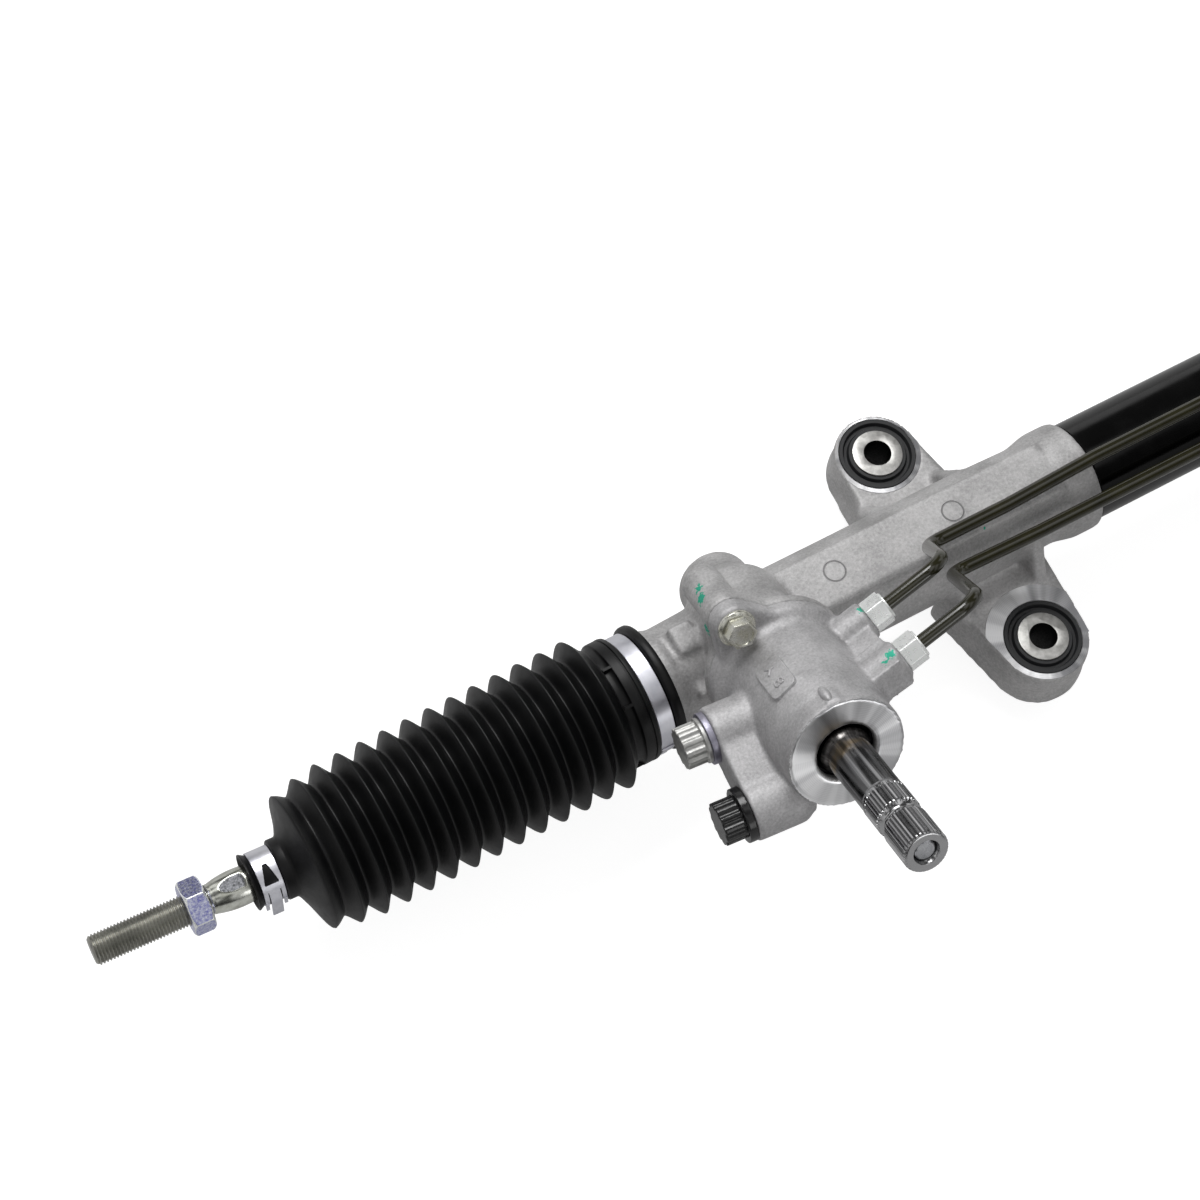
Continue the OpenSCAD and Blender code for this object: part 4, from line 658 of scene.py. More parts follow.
# Bright zinc: nearly white. It is less metallic, so that it stays light beside the black tube
nut_zinc = worn_metal("bright_zinc_plate", "#f0f3f1", "#fafbfa", 0.24, 0.34, 9, 2.5, 0.015,
                      metallic=0.7)
dress(bolt_zinc, "housing_bolts")
dress(nut_zinc, "valve_pipe_nuts", "cylinder_pipe_nuts")
crisp("housing_bolts", bolt_zinc, 0.35)
rounded("valve_pipe_nuts", nut_zinc, 0.24)
rounded("cylinder_pipe_nuts", nut_zinc, 0.24)

# Hose port plugs
# The two hose ports are closed until the rack is fitted: one by a zinc plated plug on a
# washer, the other by a plug of moulded plastic.

# Grey zinc: soft grey with a dull shine
grey_zinc = worn_metal("grey_zinc_plate", "#a9a9a7", "#c6c6c3", 0.42, 0.58)
# Passivated zinc: grey with a cast of violet
washer_zinc = worn_metal("dull_violet_zinc", "#8f8d9c", "#adabb8", 0.4, 0.56, 3)
# Moulded plastic: black, with a clear gloss
gloss_plastic = moulded("glossy_black_plastic", "#0a0a0b", 0.18, 0.3, 1.5, 0.02)
dress(grey_zinc, "grey_port_plug")
dress(washer_zinc, "grey_plug_washer")
dress(gloss_plastic, "black_port_plug")
rounded("grey_port_plug", grey_zinc, 0.28)
rounded("black_port_plug", gloss_plastic, 0.28)
crisp("grey_plug_washer", washer_zinc, 0.3)

# Rack guide
# A spring presses a cast guide with a slippery liner against the rack's back. A threaded
# cap screw holds the spring, and a lock nut holds the screw. Both are zinc plated.

# Sintered bronze: brown gold and satin
bronze = worn_metal("sintered_bronze", "#8d6f42", "#b08c55", 0.35, 0.5)
dress(cast_aluminium, "rack_guide")
dress(bronze, "guide_liner")
dress(dark_steel, "guide_spring")
dress(bolt_zinc, "guide_screw", "guide_lock_nut")
crisp("guide_screw", bolt_zinc, 0.3)
crisp("guide_lock_nut", bolt_zinc, 0.3)

# Bearings, valve and pinion
# Hardened and ground steel, shut in between the two housings: the bearings, the valve's
# sleeve and its pin, the torsion bar and the pinion. They share one plain finish.

# Ground steel: mid grey with a soft mirror
ground_steel = worn_metal("ground_steel", "#8e8f92", "#b4b5b8", 0.22, 0.36)
dress(ground_steel, "pinion_needle_bearing", "ball_bearing_outer", "ball_bearing_inner",
      "bearing_balls", "input_bearing", "valve_sleeve", "sleeve_pin", "pinion", "torsion_bar")

# Seals and rings
# Moulded rubber seals keep the oil in, and rings of filled polymer slide in the valve and in
# the cylinder. They are pressed or snapped into their grooves.

# Nitrile rubber: black and satin
seal_rubber = moulded("seal_rubber", "#121213", 0.4, 0.55, 0.6, 0.05)
# Filled polymer: cream and matt
polymer = moulded("filled_polymer", "#cfc9b4", 0.4, 0.55, 0.8, 0.04)
dress(seal_rubber, "joint_ring", "rack_seals", "input_seal")
dress(polymer, "piston_ring", "sleeve_rings")

# Cylinder tube
# Drawn steel tube under thick black stoving paint, with slight orange peel. It ends in a
# cast housing. The carriers inside hold the rack's seals, and a bush guides the rack.

# Stoving paint: black, and glossy enough to mirror the lamps
tube_paint, tree, shader = new_material("black_stoving_paint", "#040404", 0.0, 0.12, 0.3)
bump = add(tree, "ShaderNodeBump", {"Height": mottle(tree, 3.5, 2), "Strength": 0.25,
                                    "Distance": 0.06 * mm})
rough = add(tree, "ShaderNodeMapRange", (mottle(tree, 14), 0.3, 0.7, 0.1, 0.22))
fill(shader, {"Roughness": rough, "Normal": bump})
dress(tube_paint, "cylinder_tube", "cylinder_ports")
dress(cast_aluminium, "end_housing", "seal_carriers")
dress(bronze, "rack_bush")

# Input shaft
# Ground and hardened steel. The weld and hardening left a straw and brown tint, strongest
# near the seal, and the serrated end is plain bright steel.
shaft_steel, tree, shader = new_material("hardened_steel", "#8d8e90", 1.0, 0.14)
arm, along = from_crossing(tree)
cloud = mottle(tree, 6)
shifted = add(tree, "ShaderNodeMath", (cloud, 0.012, along), operation="MULTIPLY_ADD")
share = add(tree, "ShaderNodeMapRange", (shifted, 0.118, 0.165, 0, 1))
tints = add(tree, "ShaderNodeValToRGB", [share])
stops = tints.color_ramp.elements
stops[0].color = linear("#6d6a68")
stops[1].color = linear("#a8a8a9")
for at, colour in ((0.2, "#807d7b"), (0.27, "#958670"), (0.34, "#828080"), (0.5, "#828284")):
    stops.new(at).color = linear(colour)
# Fine dark streaks along the shaft, painted reflections of the dark flags round the table
way = add(tree, "ShaderNodeVectorMath", (shaft_axis, arm), operation="CROSS_PRODUCT")
way = add(tree, "ShaderNodeVectorMath", [way], operation="NORMALIZE")
painted_streaks = add(tree, "ShaderNodeTexNoise", {"Vector": way, "Scale": 4.2, "Detail": 3.0})
painted_streaks = add(tree, "ShaderNodeMapRange", (painted_streaks, 0.44, 0.6, 0.4, 1))
# The painted streaks stop at the serration
plain = add(tree, "ShaderNodeMapRange", (along, 0.152, 0.1535, 0, 1))
painted_streaks = add(tree, "ShaderNodeMath", (painted_streaks, plain), operation="MAXIMUM")
painted_streak_colour = add(tree, "ShaderNodeVectorMath", {0: tints, "Scale": painted_streaks}, operation="SCALE")
rough = add(tree, "ShaderNodeMapRange", (cloud, 0.3, 0.7, 0.12, 0.22))
fill(shader, {"Base Color": painted_streak_colour, "Roughness": rough})
dress(shaft_steel, "input_shaft")
facet_degrees = 14
mesh = crisp("input_shaft", shaft_steel, 0, facet_degrees).data

# The serrated end is drawn again over the CAD copy, because its teeth must run straight
journal_r = 9.7
crest_r = 9.95
root_r = 9.0
start_u = 153.2
groove_u = 171
groove_half = 3.4
groove_depth = 2
end_u = 193
edge_r = 1.5
teeth = 36
tooth_pitch = 1.736
flank_slope = 1.8
full_depth_u = 156.4
phases = (0, 0.1, 0.2, 0.304, 0.4, 0.5, 0.6, 0.696, 0.8, 0.9)
rims = [(journal_r, start_u), (journal_r, 153.4), (9.9, 154.0), (crest_r, 154.6)]
rims += [(crest_r, 155.2 + i * 0.4) for i in range(32)]
for u in np.linspace(groove_u - groove_half, groove_u + groove_half, 19):
    dip = max(0, math.cos((u - groove_u) / groove_half * math.pi / 2)) ** 1.5
    rims.append((crest_r - groove_depth * dip, u))
rims += [(crest_r, 175 + i * 1.6) for i in range(11)]
for a in np.linspace(0, math.pi / 2, 9):
    rims.append((crest_r - edge_r * (1 - math.cos(a)), end_u - edge_r * (1 - math.sin(a))))
# From the rim the profile goes back down the bore
rims += [(5.9, end_u), (5.6, 192.7), (5.6, 189), (4.55, 189), (4.55, 173), (3.6, 173),
         (3.6, start_u)]
bore_limit = 6.5
rings = []
for r, u in rims:
    run_out = max(0, full_depth_u - u) * 0.8
    ring = []
    for tooth in range(teeth):
        for phase in phases:
            turn = (tooth + phase) * math.tau / teeth
            flank = root_r + flank_slope * tooth_pitch * min(phase, 1 - phase) + run_out
            out = min(r, flank) if r > bore_limit else r
            ring.append(on_shaft(out * math.cos(turn), out * math.sin(turn), u))
    rings.append(ring)
serrated_end = new_mesh("serrated_end", *skin(rings), shaft_steel)
with editing(mesh) as bm:
    bmesh.ops.bisect_plane(bm, geom=bm.verts[:] + bm.edges[:] + bm.faces[:],
                           plane_co=on_shaft(0, 0, start_u), plane_no=shaft_axis,
                           clear_outer=True)
    bm.from_mesh(serrated_end)
    bmesh.ops.recalc_face_normals(bm, faces=bm.faces)
bpy.data.meshes.remove(serrated_end)
smooth_to(mesh, facet_degrees)

# Transfer pipes
# Bent steel pipe with a glossy olive coating over its plating. Each pipe is swept along its
# route with rounded bends.
def new_group(name, *labels):
    """A geometry node tree with named sizes, and the sockets of its input node."""
    group = bpy.data.node_groups.new(name, "GeometryNodeTree")
    group.interface.new_socket("Geometry", in_out="INPUT", socket_type="NodeSocketGeometry")
    for label in labels:
        group.interface.new_socket(label, in_out="INPUT", socket_type="NodeSocketFloat")
    group.interface.new_socket("Geometry", in_out="OUTPUT", socket_type="NodeSocketGeometry")
    return group, add(group, "NodeGroupInput").outputs


def finish_group(group, shape, material):
    """Ends a tree in smooth, real faces of one material."""
    smooth = add(group, "GeometryNodeSetShadeSmooth", [shape])
    real = add(group, "GeometryNodeRealizeInstances", [smooth])
    painted = add(group, "GeometryNodeSetMaterial", {"Geometry": real, "Material": material})
    add(group, "NodeGroupOutput", [painted])
    return group


def sweep_group(name, material):
    """Geometry nodes that round a route's corners and sweep a round pipe along it."""
    group, given = new_group(name, "Bend", "Radius")
    route = add(group, "GeometryNodeMeshToCurve", [given[0]])
    bent = add(group, "GeometryNodeFilletCurve",
               {"Curve": route, "Radius": given["Bend"], "Count": 14, "Limit Radius": True},
               mode="POLY")
    ring = add(group, "GeometryNodeCurvePrimitiveCircle",
               {"Resolution": 28, "Radius": given["Radius"]})
    tube = add(group, "GeometryNodeCurveToMesh",
               {"Curve": bent, "Profile Curve": ring, "Fill Caps": True})
    return finish_group(group, tube, material)


def built(name, verts, edges, group, **sizes):
    """The plain mesh that a geometry node group makes from some points and edges."""
    seed = bpy.data.meshes.new(name + "_seed")
    seed.from_pydata([tuple(v) for v in verts], edges, [])
    holder = new_object(name + "_seed", seed)
    modifier = holder.modifiers.new("shape", "NODES")
    modifier.node_group = group
    for item in group.interface.items_tree:
        if item.in_out == "INPUT" and item.name in sizes:
            modifier[item.identifier] = sizes[item.name]
    mesh = evaluated(holder)
    mesh.name = name
    bpy.data.objects.remove(holder)
    return mesh


def outward(mesh, sharp=None, fill_holes=False):
    """Turns a closed mesh's faces out, and keeps edges sharp past an angle in degrees."""
    with editing(mesh) as bm:
        bmesh.ops.remove_doubles(bm, verts=bm.verts, dist=0.001 * mm)
        if fill_holes:
            rim = [e for e in bm.edges if e.is_boundary]
            bmesh.ops.holes_fill(bm, edges=rim, sides=0)
        bmesh.ops.recalc_face_normals(bm, faces=bm.faces)
    if sharp:
        mesh.set_sharp_from_angle(angle=math.radians(sharp))
    return mesh


# Olive coating: nearly black green, with a wet gloss and soft waves
pipe_coat, tree, shader = new_material("olive_pipe_coating", "#201f0d", 0.0, 0.16, 0.6)
bump = add(tree, "ShaderNodeBump", {"Height": mottle(tree, 2.5, 2), "Strength": 0.2,
                                    "Distance": 0.05 * mm})
colour = shades(tree, mottle(tree, 12), 0.3, 0.7, "#1b1a0b", "#282611")
fill(shader, {"Base Color": colour, "Normal": bump})


def port_point(u, out):
    """A place on a valve port's axis, at a distance from the pinion axis."""
    return on_shaft(out * math.cos(port_turn), out * math.sin(port_turn), u)


def beside_rack(x, turn, out):
    """A place beside the rack, from the pinion's station, turned from the top."""
    turn = math.radians(turn)
    return Vector((x - 500, -out * math.sin(turn), out * math.cos(turn))) * mm


rear_port_u = 59
front_port_u = 92
pipe_end = 44
pipe_lift = 84
near = 33.3
elbow = 63
cylinder_face = 34
rear_route = [port_point(rear_port_u, pipe_end), port_point(rear_port_u, pipe_lift),
              beside_rack(86, 17, near), beside_rack(130, 17, near),
              beside_rack(178, 14, near), beside_rack(243, 14, near),
              beside_rack(285, 14, elbow), beside_rack(285, 14, cylinder_face)]
front_route = [port_point(front_port_u, pipe_end), port_point(front_port_u, pipe_lift),
               beside_rack(92, 46, near), beside_rack(140, 48, near),
               beside_rack(415, 48, near), beside_rack(457, 14, elbow),
               beside_rack(457, 14, cylinder_face)]
swept_pipe = sweep_group("swept_pipe", pipe_coat)
dress(pipe_coat, "pipe_rear", "pipe_front")
for name, route in (("pipe_rear", rear_route), ("pipe_front", front_route)):
    edges = [(i, i + 1) for i in range(len(route) - 1)]
    mesh = built(name + "_run", route, edges, swept_pipe, Bend=11.2 * mm, Radius=3.2 * mm)
    new_piece(name + "_run", outward(mesh), "housing", name)

# Rack, piston and ball joints
# A ground steel bar with teeth, which carries the piston inside the tube. Sockets with
# resin seats are screwed to its ends, over stop washers.
dress(ground_steel, "rack_bar", "piston")
dress(dark_steel, "piston_clips", "ball_socket_left", "ball_socket_right", "stop_washers")
dress(polymer, "ball_seats")

# Tie rods
# Forged rod, zinc plated, with two flats for a spanner and an M14 thread. The ball sits in
# the socket at the end of the rack.
def thread_group(name, material):
    """Geometry nodes that bend a grid into a rod with one helical groove."""
    group, given = new_group(name, "Length", "Radius", "Pitch", "Depth")
    grid = add(group, "GeometryNodeMeshGrid",
               {"Size X": 1.0, "Size Y": 1.0, "Vertices X": 49, "Vertices Y": 325})
    place = add(group, "ShaderNodeSeparateXYZ", [add(group, "GeometryNodeInputPosition")])
    made = {"x": place.outputs[0], "y": place.outputs[1], "length": given["Length"],
            "radius": given["Radius"], "pitch": given["Pitch"], "depth": given["Depth"]}
    for key, operation, *terms in (
            ("turn", "ADD", "x", 0.5),
            ("share", "ADD", "y", 0.5),
            ("height", "MULTIPLY", "share", "length"),
            ("lead", "DIVIDE", "height", "pitch"),
            ("lag", "SUBTRACT", "lead", "turn"),
            ("phase", "FRACT", "lag"),
            ("wave", "MULTIPLY_ADD", "phase", 2.0, -1.0),
            ("slope", "ABSOLUTE", "wave"),
            ("steep", "MULTIPLY_ADD", "slope", 1.35, -0.2),
            ("above", "MAXIMUM", "steep", 0.0),
            ("groove", "MINIMUM", "above", 1.0),
            ("cut", "MULTIPLY", "groove", "depth"),
            ("full", "SUBTRACT", "radius", "cut"),
            ("left", "SUBTRACT", "length", "height"),
            ("tip", "SUBTRACT", "radius", 1.5 * mm),
            ("chamfer", "ADD", "tip", "left"),
            ("out", "MINIMUM", "full", "chamfer"),
            ("angle", "MULTIPLY", "turn", math.tau),
            ("cosine", "COSINE", "angle"),
            ("sine", "SINE", "angle"),
            ("new x", "MULTIPLY", "out", "cosine"),
            ("new y", "MULTIPLY", "out", "sine")):
        made[key] = add(group, "ShaderNodeMath", [made.get(t, t) for t in terms],
                        operation=operation)
    spot = add(group, "ShaderNodeCombineXYZ", (made["new x"], made["new y"], made["height"]))
    bent = add(group, "GeometryNodeSetPosition", {"Geometry": grid, "Position": spot})
    joined = add(group, "GeometryNodeMergeByDistance", {"Geometry": bent, "Distance": weld})
    return finish_group(group, joined, material)


def lathed(profile, place, turns):
    """Rings of a turned body about Z. The profile is radius and height."""
    angles = [math.tau * i / turns for i in range(turns)]
    return [[place @ (Vector((r * math.cos(a), r * math.sin(a), h)) * mm) for a in angles]
            for r, h in profile]


def rod_place(side):
    """Frame of a tie rod: Z runs out along it from its ball."""
    rod_angle = math.radians(3.3)
    up = Vector((0, 0, 1))
    away = Vector((side * math.cos(rod_angle), math.sin(rod_angle), 0))
    turn = Matrix((up, up.cross(away), away)).transposed().to_4x4()
    return Matrix.Translation(Vector((-260 + side * 437, 0, 0)) * mm) @ turn


def tie_rod(side, body):
    """Rod, flats and thread of one end, which swing on the ball."""
    end = body.removeprefix("tie_rod_")
    place = rod_place(side)
    back = place.inverted()
    ball_r = 12.5
    flat_half = 7.65
    flat_start = 49.8 * mm
    flat_end = 66.2 * mm
    profile = [(ball_r * math.sin(a), -ball_r * math.cos(a))
               for a in [math.pi * k / 24 for k in range(1, 19)]]
    profile += [(7.0, 11.5), (8.0, 26), (8.0, 47)]
    profile += [(8.45 - (0.0124 if t > 55 else 0.008) * (t - 55) ** 2, t)
                for t in [50 + k / 2 for k in range(33)]]
    profile += [(6.9, 66.8), (6.4, 68)]
    verts, faces = skin(lathed(profile, place, 128), caps=True)
    on_flat = set()
    for i, v in enumerate(verts):
        p = back @ v
        keep = (flat_half + max(0, 52 - p.z / mm) * 0.6) * mm
        if flat_start < p.z < flat_end and abs(p.x) > keep:
            verts[i] = place @ Vector((math.copysign(keep, p.x), p.y, p.z))
            on_flat.add(i)
    mesh = new_mesh("rod_" + end, verts, faces, rod_zinc)
    mesh.materials.append(flat_steel)
    for polygon in mesh.polygons:
        if on_flat.issuperset(polygon.vertices):
            polygon.material_index = 1
    new_piece("rod_" + end, outward(mesh, 32), body, body)
    mesh = built("thread_" + end, [(0, 0, 0)], [], helical_thread,
                 Length=54 * mm, Radius=7 * mm, Pitch=1.5 * mm, Depth=0.92 * mm)
    mesh.transform(place @ Matrix.Translation((0, 0, 67 * mm)))
    new_piece("thread_" + end, outward(mesh, 40, True), body, body)


# Zinc plate: bright with a faint yellow shade. The thread is duller, and the forged flats
# are dark and speckled
rod_zinc = worn_metal("rod_zinc_plate", "#b3b4aa", "#dcddd6", 0.14, 0.26, 6, 2.6, 0.03)
thread_zinc = worn_metal("thread_zinc_plate", "#95948e", "#b3b2ab", 0.3, 0.36, 12, 6, 0.002)
flat_steel = worn_metal("forged_flat", "#454648", "#85868a", 0.4, 0.6, 1.3, 0.7, 0.25)
helical_thread = thread_group("helical_thread", thread_zinc)
ends = ((-1, "left"), (1, "right"))
dress(rod_zinc, "tie_rod_left", "tie_rod_right")
for side, end in ends:
    tie_rod(side, "tie_rod_" + end)

# Lock nuts
# Hexagon nuts that lock the tie rod ends. Their zinc is passivated, which leaves blue and
# violet specks on the flats, and the corners and chamfers between the flats are bright zinc.
def bright_edges(mesh, place):
    """Gives the corners and chamfers between a nut's flats the bright zinc."""
    mesh.materials.append(nut_zinc)
    normals = np.empty(len(mesh.polygons) * 3)
    mesh.polygons.foreach_get("normal", normals)
    normals = normals.reshape(-1, 3) @ np.array(place.to_3x3())
    lean = np.abs(normals[:, 2])
    turn = np.degrees(np.arctan2(normals[:, 1], normals[:, 0])) % 60
    flat = np.argmax(np.bincount(turn[lean < 0.1].astype(int), minlength=60)) + 0.5
    off = np.abs((turn - flat + 30) % 60 - 30)
    edge = (lean < 0.95) & ((off > 7) | (lean > 0.15))
    mesh.polygons.foreach_set("material_index", edge.astype(np.int32))


# Blue passivated zinc: pale, with specks of violet and a good shine
violet_zinc = worn_metal("blue_passivated_zinc", "#8082c4", "#dfe2f2", 0.2, 0.36, 1.1, 0.8,
                         0.05)
dress(violet_zinc, "lock_nut_left", "lock_nut_right")
for side, end in ends:
    nut = rounded("lock_nut_" + end, violet_zinc, 0.28)
    bright_edges(nut.data, rod_place(side))

# Bellows
# Moulded black rubber with fourteen folds. It stretches between the housing and the rack,
# and its small cuff grips the tie rod and leans with it.
def fold_group(name, material):
    """Geometry nodes that turn a line into a tube whose radius rises and falls in folds."""
    group, given = new_group(name, "Pitch", "Crest", "Root", "Length")
    line = add(group, "GeometryNodeMeshToCurve", [given[0]])
    fine = add(group, "GeometryNodeResampleCurve", {"Curve": line, "Count": 379})
    made = {"along": add(group, "GeometryNodeSplineParameter").outputs["Factor"],
            "pitch": given["Pitch"], "crest": given["Crest"], "root": given["Root"],
            "length": given["Length"]}
    for key, operation, *terms in (
            ("run", "MULTIPLY", "along", "length"),
            ("folds", "DIVIDE", "run", "pitch"),
            ("phase", "FRACT", "folds"),
            ("swing", "MULTIPLY_ADD", "phase", 2.0, -1.0),
            ("wave", "ABSOLUTE", "swing"),
            ("root square", "MULTIPLY_ADD", "wave", "wave", 0.03),
            ("root curve", "SQRT", "root square"),
            ("round root", "SUBTRACT", "root curve", 0.173),
            ("rest", "SUBTRACT", 1.0, "round root"),
            ("crest square", "MULTIPLY_ADD", "rest", "rest", 0.055),
            ("crest curve", "SQRT", "crest square"),
            ("round crest", "SUBTRACT", "crest curve", 0.235),
            ("rise", "SUBTRACT", 1.0, "round crest"),
            ("height", "DIVIDE", "rise", 0.98),
            ("first fold", "MULTIPLY_ADD", "folds", 3.0 * mm, -4.5 * mm),
            ("lower", "MINIMUM", "first fold", 0.0),
            ("top", "ADD", "crest", "lower"),
            ("reach", "SUBTRACT", "top", "root"),
            ("radius", "MULTIPLY_ADD", "height", "reach", "root")):
        made[key] = add(group, "ShaderNodeMath", [made.get(t, t) for t in terms],
                        operation=operation)
    ring = add(group, "GeometryNodeCurvePrimitiveCircle", {"Resolution": 160, "Radius": 1.0})
    tube = add(group, "GeometryNodeCurveToMesh",
               {"Curve": fine, "Profile Curve": ring, "Scale": made["radius"]})
    return finish_group(group, tube, material)


def facing_out(mesh, centre, way):
    """Turns the faces of an open tube away from its axis."""
    with editing(mesh) as bm:
        bmesh.ops.recalc_face_normals(bm, faces=bm.faces)
        total = 0
        for face in bm.faces:
            arm = face.calc_center_median() - centre
            arm -= way * arm.dot(way)
            total += arm.dot(face.normal) * face.calc_area()
        if total < 0:
            bmesh.ops.reverse_faces(bm, faces=bm.faces)


def merged(*shapes):
    """Vertices and faces of several shapes as one."""
    verts, faces = [], []
    for more, sides in shapes:
        faces += [[len(verts) + i for i in face] for face in sides]
        verts += more
    return verts, faces


def on_rack(side, x):
    """A place on the rack's axis at the left end, or its mirror image at the right end."""
    middle = -260
    return Vector((middle + (middle - x) * side, 0, 0)) * mm


def large_cuff(side, end):
    """The stiff end of a bellows, with its bead, the clamp's groove and ribs."""
    outer = Vector((side, 0, 0))
    up = Vector((0, 0, 1))
    turn = Matrix((outer.cross(up), up, -outer)).transposed().to_4x4()
    place = Matrix.Translation(on_rack(side, -500)) @ turn
    profile = [(25.1, -46.2), (28.4, -46.2), (29.5, -46.6), (29.9, -47.3), (29.9, -49.2),
               (29.5, -50.2), (28.4, -50.8), (27.0, -51.2), (27.0, -59.2), (28.6, -59.5),
               (29.4, -60.0), (29.6, -60.7), (29.6, -61.9), (29.0, -62.2), (29.0, -62.6),
               (29.5, -62.9), (29.5, -66.6), (29.3, -67.2), (28.6, -67.5), (27.9, -68.2),
               (27.3, -69.4), (27.2, -71.55), (25.2, -71.55)]
    shapes = [skin(lathed(profile, place, 160), closed=True)]
    # Moulded ribs that bridge the groove behind the last fold, in pairs
    corners = ((-0.7, 26.5), (0.7, 26.5), (0.7, 29.3), (-0.7, 29.3))
    for turn in [pair + step for pair in (0, 120, 240) for step in (-25, 14)]:
        spun = place @ Matrix.Rotation(math.radians(turn) * side, 4, "Z")
        shapes.append(skin([[spun @ (Vector((w, r, h)) * mm) for w, r in corners]
                            for h in (-71.2, -66.8)], caps=True))
    mesh = new_mesh("large_cuff_" + end, *merged(*shapes), bellows_rubber)
    new_piece("large_cuff_" + end, outward(mesh, 38), "housing",
              "bellows_" + end)


def small_cuff(side, end):
    """The funnel from the first crest to the rod, where the rings turn to the rod's axis."""
    rod = rod_place(side)
    outer = Vector((side, 0, 0))
    away = rod.col[2].xyz
    up = Vector((0, 0, 1))
    rings = []
    crest = on_rack(side, crest_x)
    for r, share in ((31.5, 0.0), (31.2, 0.06), (30.2, 0.13), (28.3, 0.22), (26.1, 0.32),
                     (23.6, 0.43), (21.0, 0.55), (18.6, 0.68), (16.6, 0.8), (15.0, 0.9),
                     (14.0, 1.0)):
        spot = crest.lerp(rod @ (Vector((0, 0, 31.6)) * mm), share)
        rings.append((r, spot, outer.lerp(away, share).normalized()))
    for r, t in ((13.8, 32.4), (13.8, 35.6), (13.4, 36.1), (11.4, 36.4), (11.4, 46.7),
                 (11.8, 47.1), (12.5, 48.3), (12.9, 49.0), (12.8, 49.4), (12.3, 49.4),
                 (11.4, 48.2), (10.2, 47.0), (8.4, 46.6), (8.2, 46.2), (8.2, 44.0)):
        rings.append((r, rod @ (Vector((0, 0, t)) * mm), away))
    angles = [math.tau * i / 128 for i in range(128)]
    circles = []
    for r, spot, way in rings:
        across = way.cross(up).normalized()
        circles.append([spot + (up * math.cos(a) + across * math.sin(a)) * r * mm
                        for a in angles])
    mesh = new_mesh("small_cuff_" + end, *skin(circles), bellows_rubber)
    facing_out(mesh, rod @ Vector((0, 0, 0.04)), away)
    mesh.set_sharp_from_angle(angle=math.radians(50))
    cuff = new_object("small_cuff_" + end, mesh)
    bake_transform(cuff, "rack", "tie_rod_" + end, start=crest, end=on_rack(side, crest_x - 7.1))
    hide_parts("bellows_" + end)


# Chloroprene rubber: deep black, with a low satin sheen
bellows_rubber = moulded("bellows_rubber", "#040405", 0.36, 0.48, 1.6, 0.02, 0.3)
bellows_folds = fold_group("bellows_folds", bellows_rubber)
crest_x = -721.4
cuff_x = -571.55
dress(bellows_rubber, "bellows_left", "bellows_right")
for side, end in ends:
    crest = on_rack(side, crest_x)
    foot = on_rack(side, cuff_x)
    mesh = built("folds_" + end, [crest, foot], [(0, 1)], bellows_folds, Pitch=11.1 * mm,
                 Crest=36 * mm, Root=27.2 * mm, Length=(cuff_x - crest_x) * mm)
    facing_out(mesh, crest, Vector((1, 0, 0)))
    folds = new_object("folds_" + end, mesh)
    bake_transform(folds, "housing", "rack", start=foot, end=crest)
    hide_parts("bellows_" + end)
    large_cuff(side, end)
    small_cuff(side, end)

# Band clamps
# Bright stainless bands hold the cuffs. The small one is cut with a tapered window, and its
# hooked tongue comes out through a slot. The large one ends in an overlap and a low hook.
def axis_frame(origin, outer, side):
    """A frame on an axis: X to the front at the left end, Y up and Z along the axis."""
    up = Vector((0, 0, 1))
    across = outer.cross(up).normalized() * side
    return Matrix.Translation(origin) @ Matrix((across, up, outer)).transposed().to_4x4()


def hoop(inner, outer, edge, low, high, place, turns):
    """A closed band with broken outer edges."""
    profile = [(inner, low), (outer - edge, low), (outer, low + edge), (outer, high - edge),
               (outer - edge, high), (inner, high)]
    return skin(lathed(profile, place, turns), closed=True)


def strip(points, low, high, thickness, place):
    """A bent strip. Its points lie across the axis, and its width lies along it."""
    rings = []
    for k, point in enumerate(points):
        ahead = points[min(k + 1, len(points) - 1)] - points[max(k - 1, 0)]
        half = Vector((-ahead.y, ahead.x)).normalized() * thickness / 2
        corners = ((point + half, low), (point + half, high), (point - half, high),
                   (point - half, low))
        rings.append([place @ (Vector((*spot, z)) * mm) for spot, z in corners])
    return skin(rings, caps=True)


def turned_to(r, turn):
    """A place across the axis, at a radius and a turn from the top."""
    turn = math.radians(turn)
    return Vector((r * math.sin(turn), r * math.cos(turn)))


def cut_window(mesh, turn, outline, place):
    """A band's mesh with a window cut out. The outline lies across and along the axis."""
    spun = place @ Matrix.Rotation(-math.radians(turn), 4, "Z")
    rings = [[spun @ (Vector((w, r, z)) * mm) for w, z in outline] for r in (8, 16)]
    block = outward(new_mesh("window", *skin(rings, caps=True), clamp_steel))
    cutter = new_object("window", block)
    band = new_object("band", mesh)
    cut = band.modifiers.new("window", "BOOLEAN")
    cut.object = cutter
    cut.operation = "DIFFERENCE"
    cut.solver = "EXACT"
    result = evaluated(band)
    bpy.data.objects.remove(band)
    bpy.data.objects.remove(cutter)
    return result


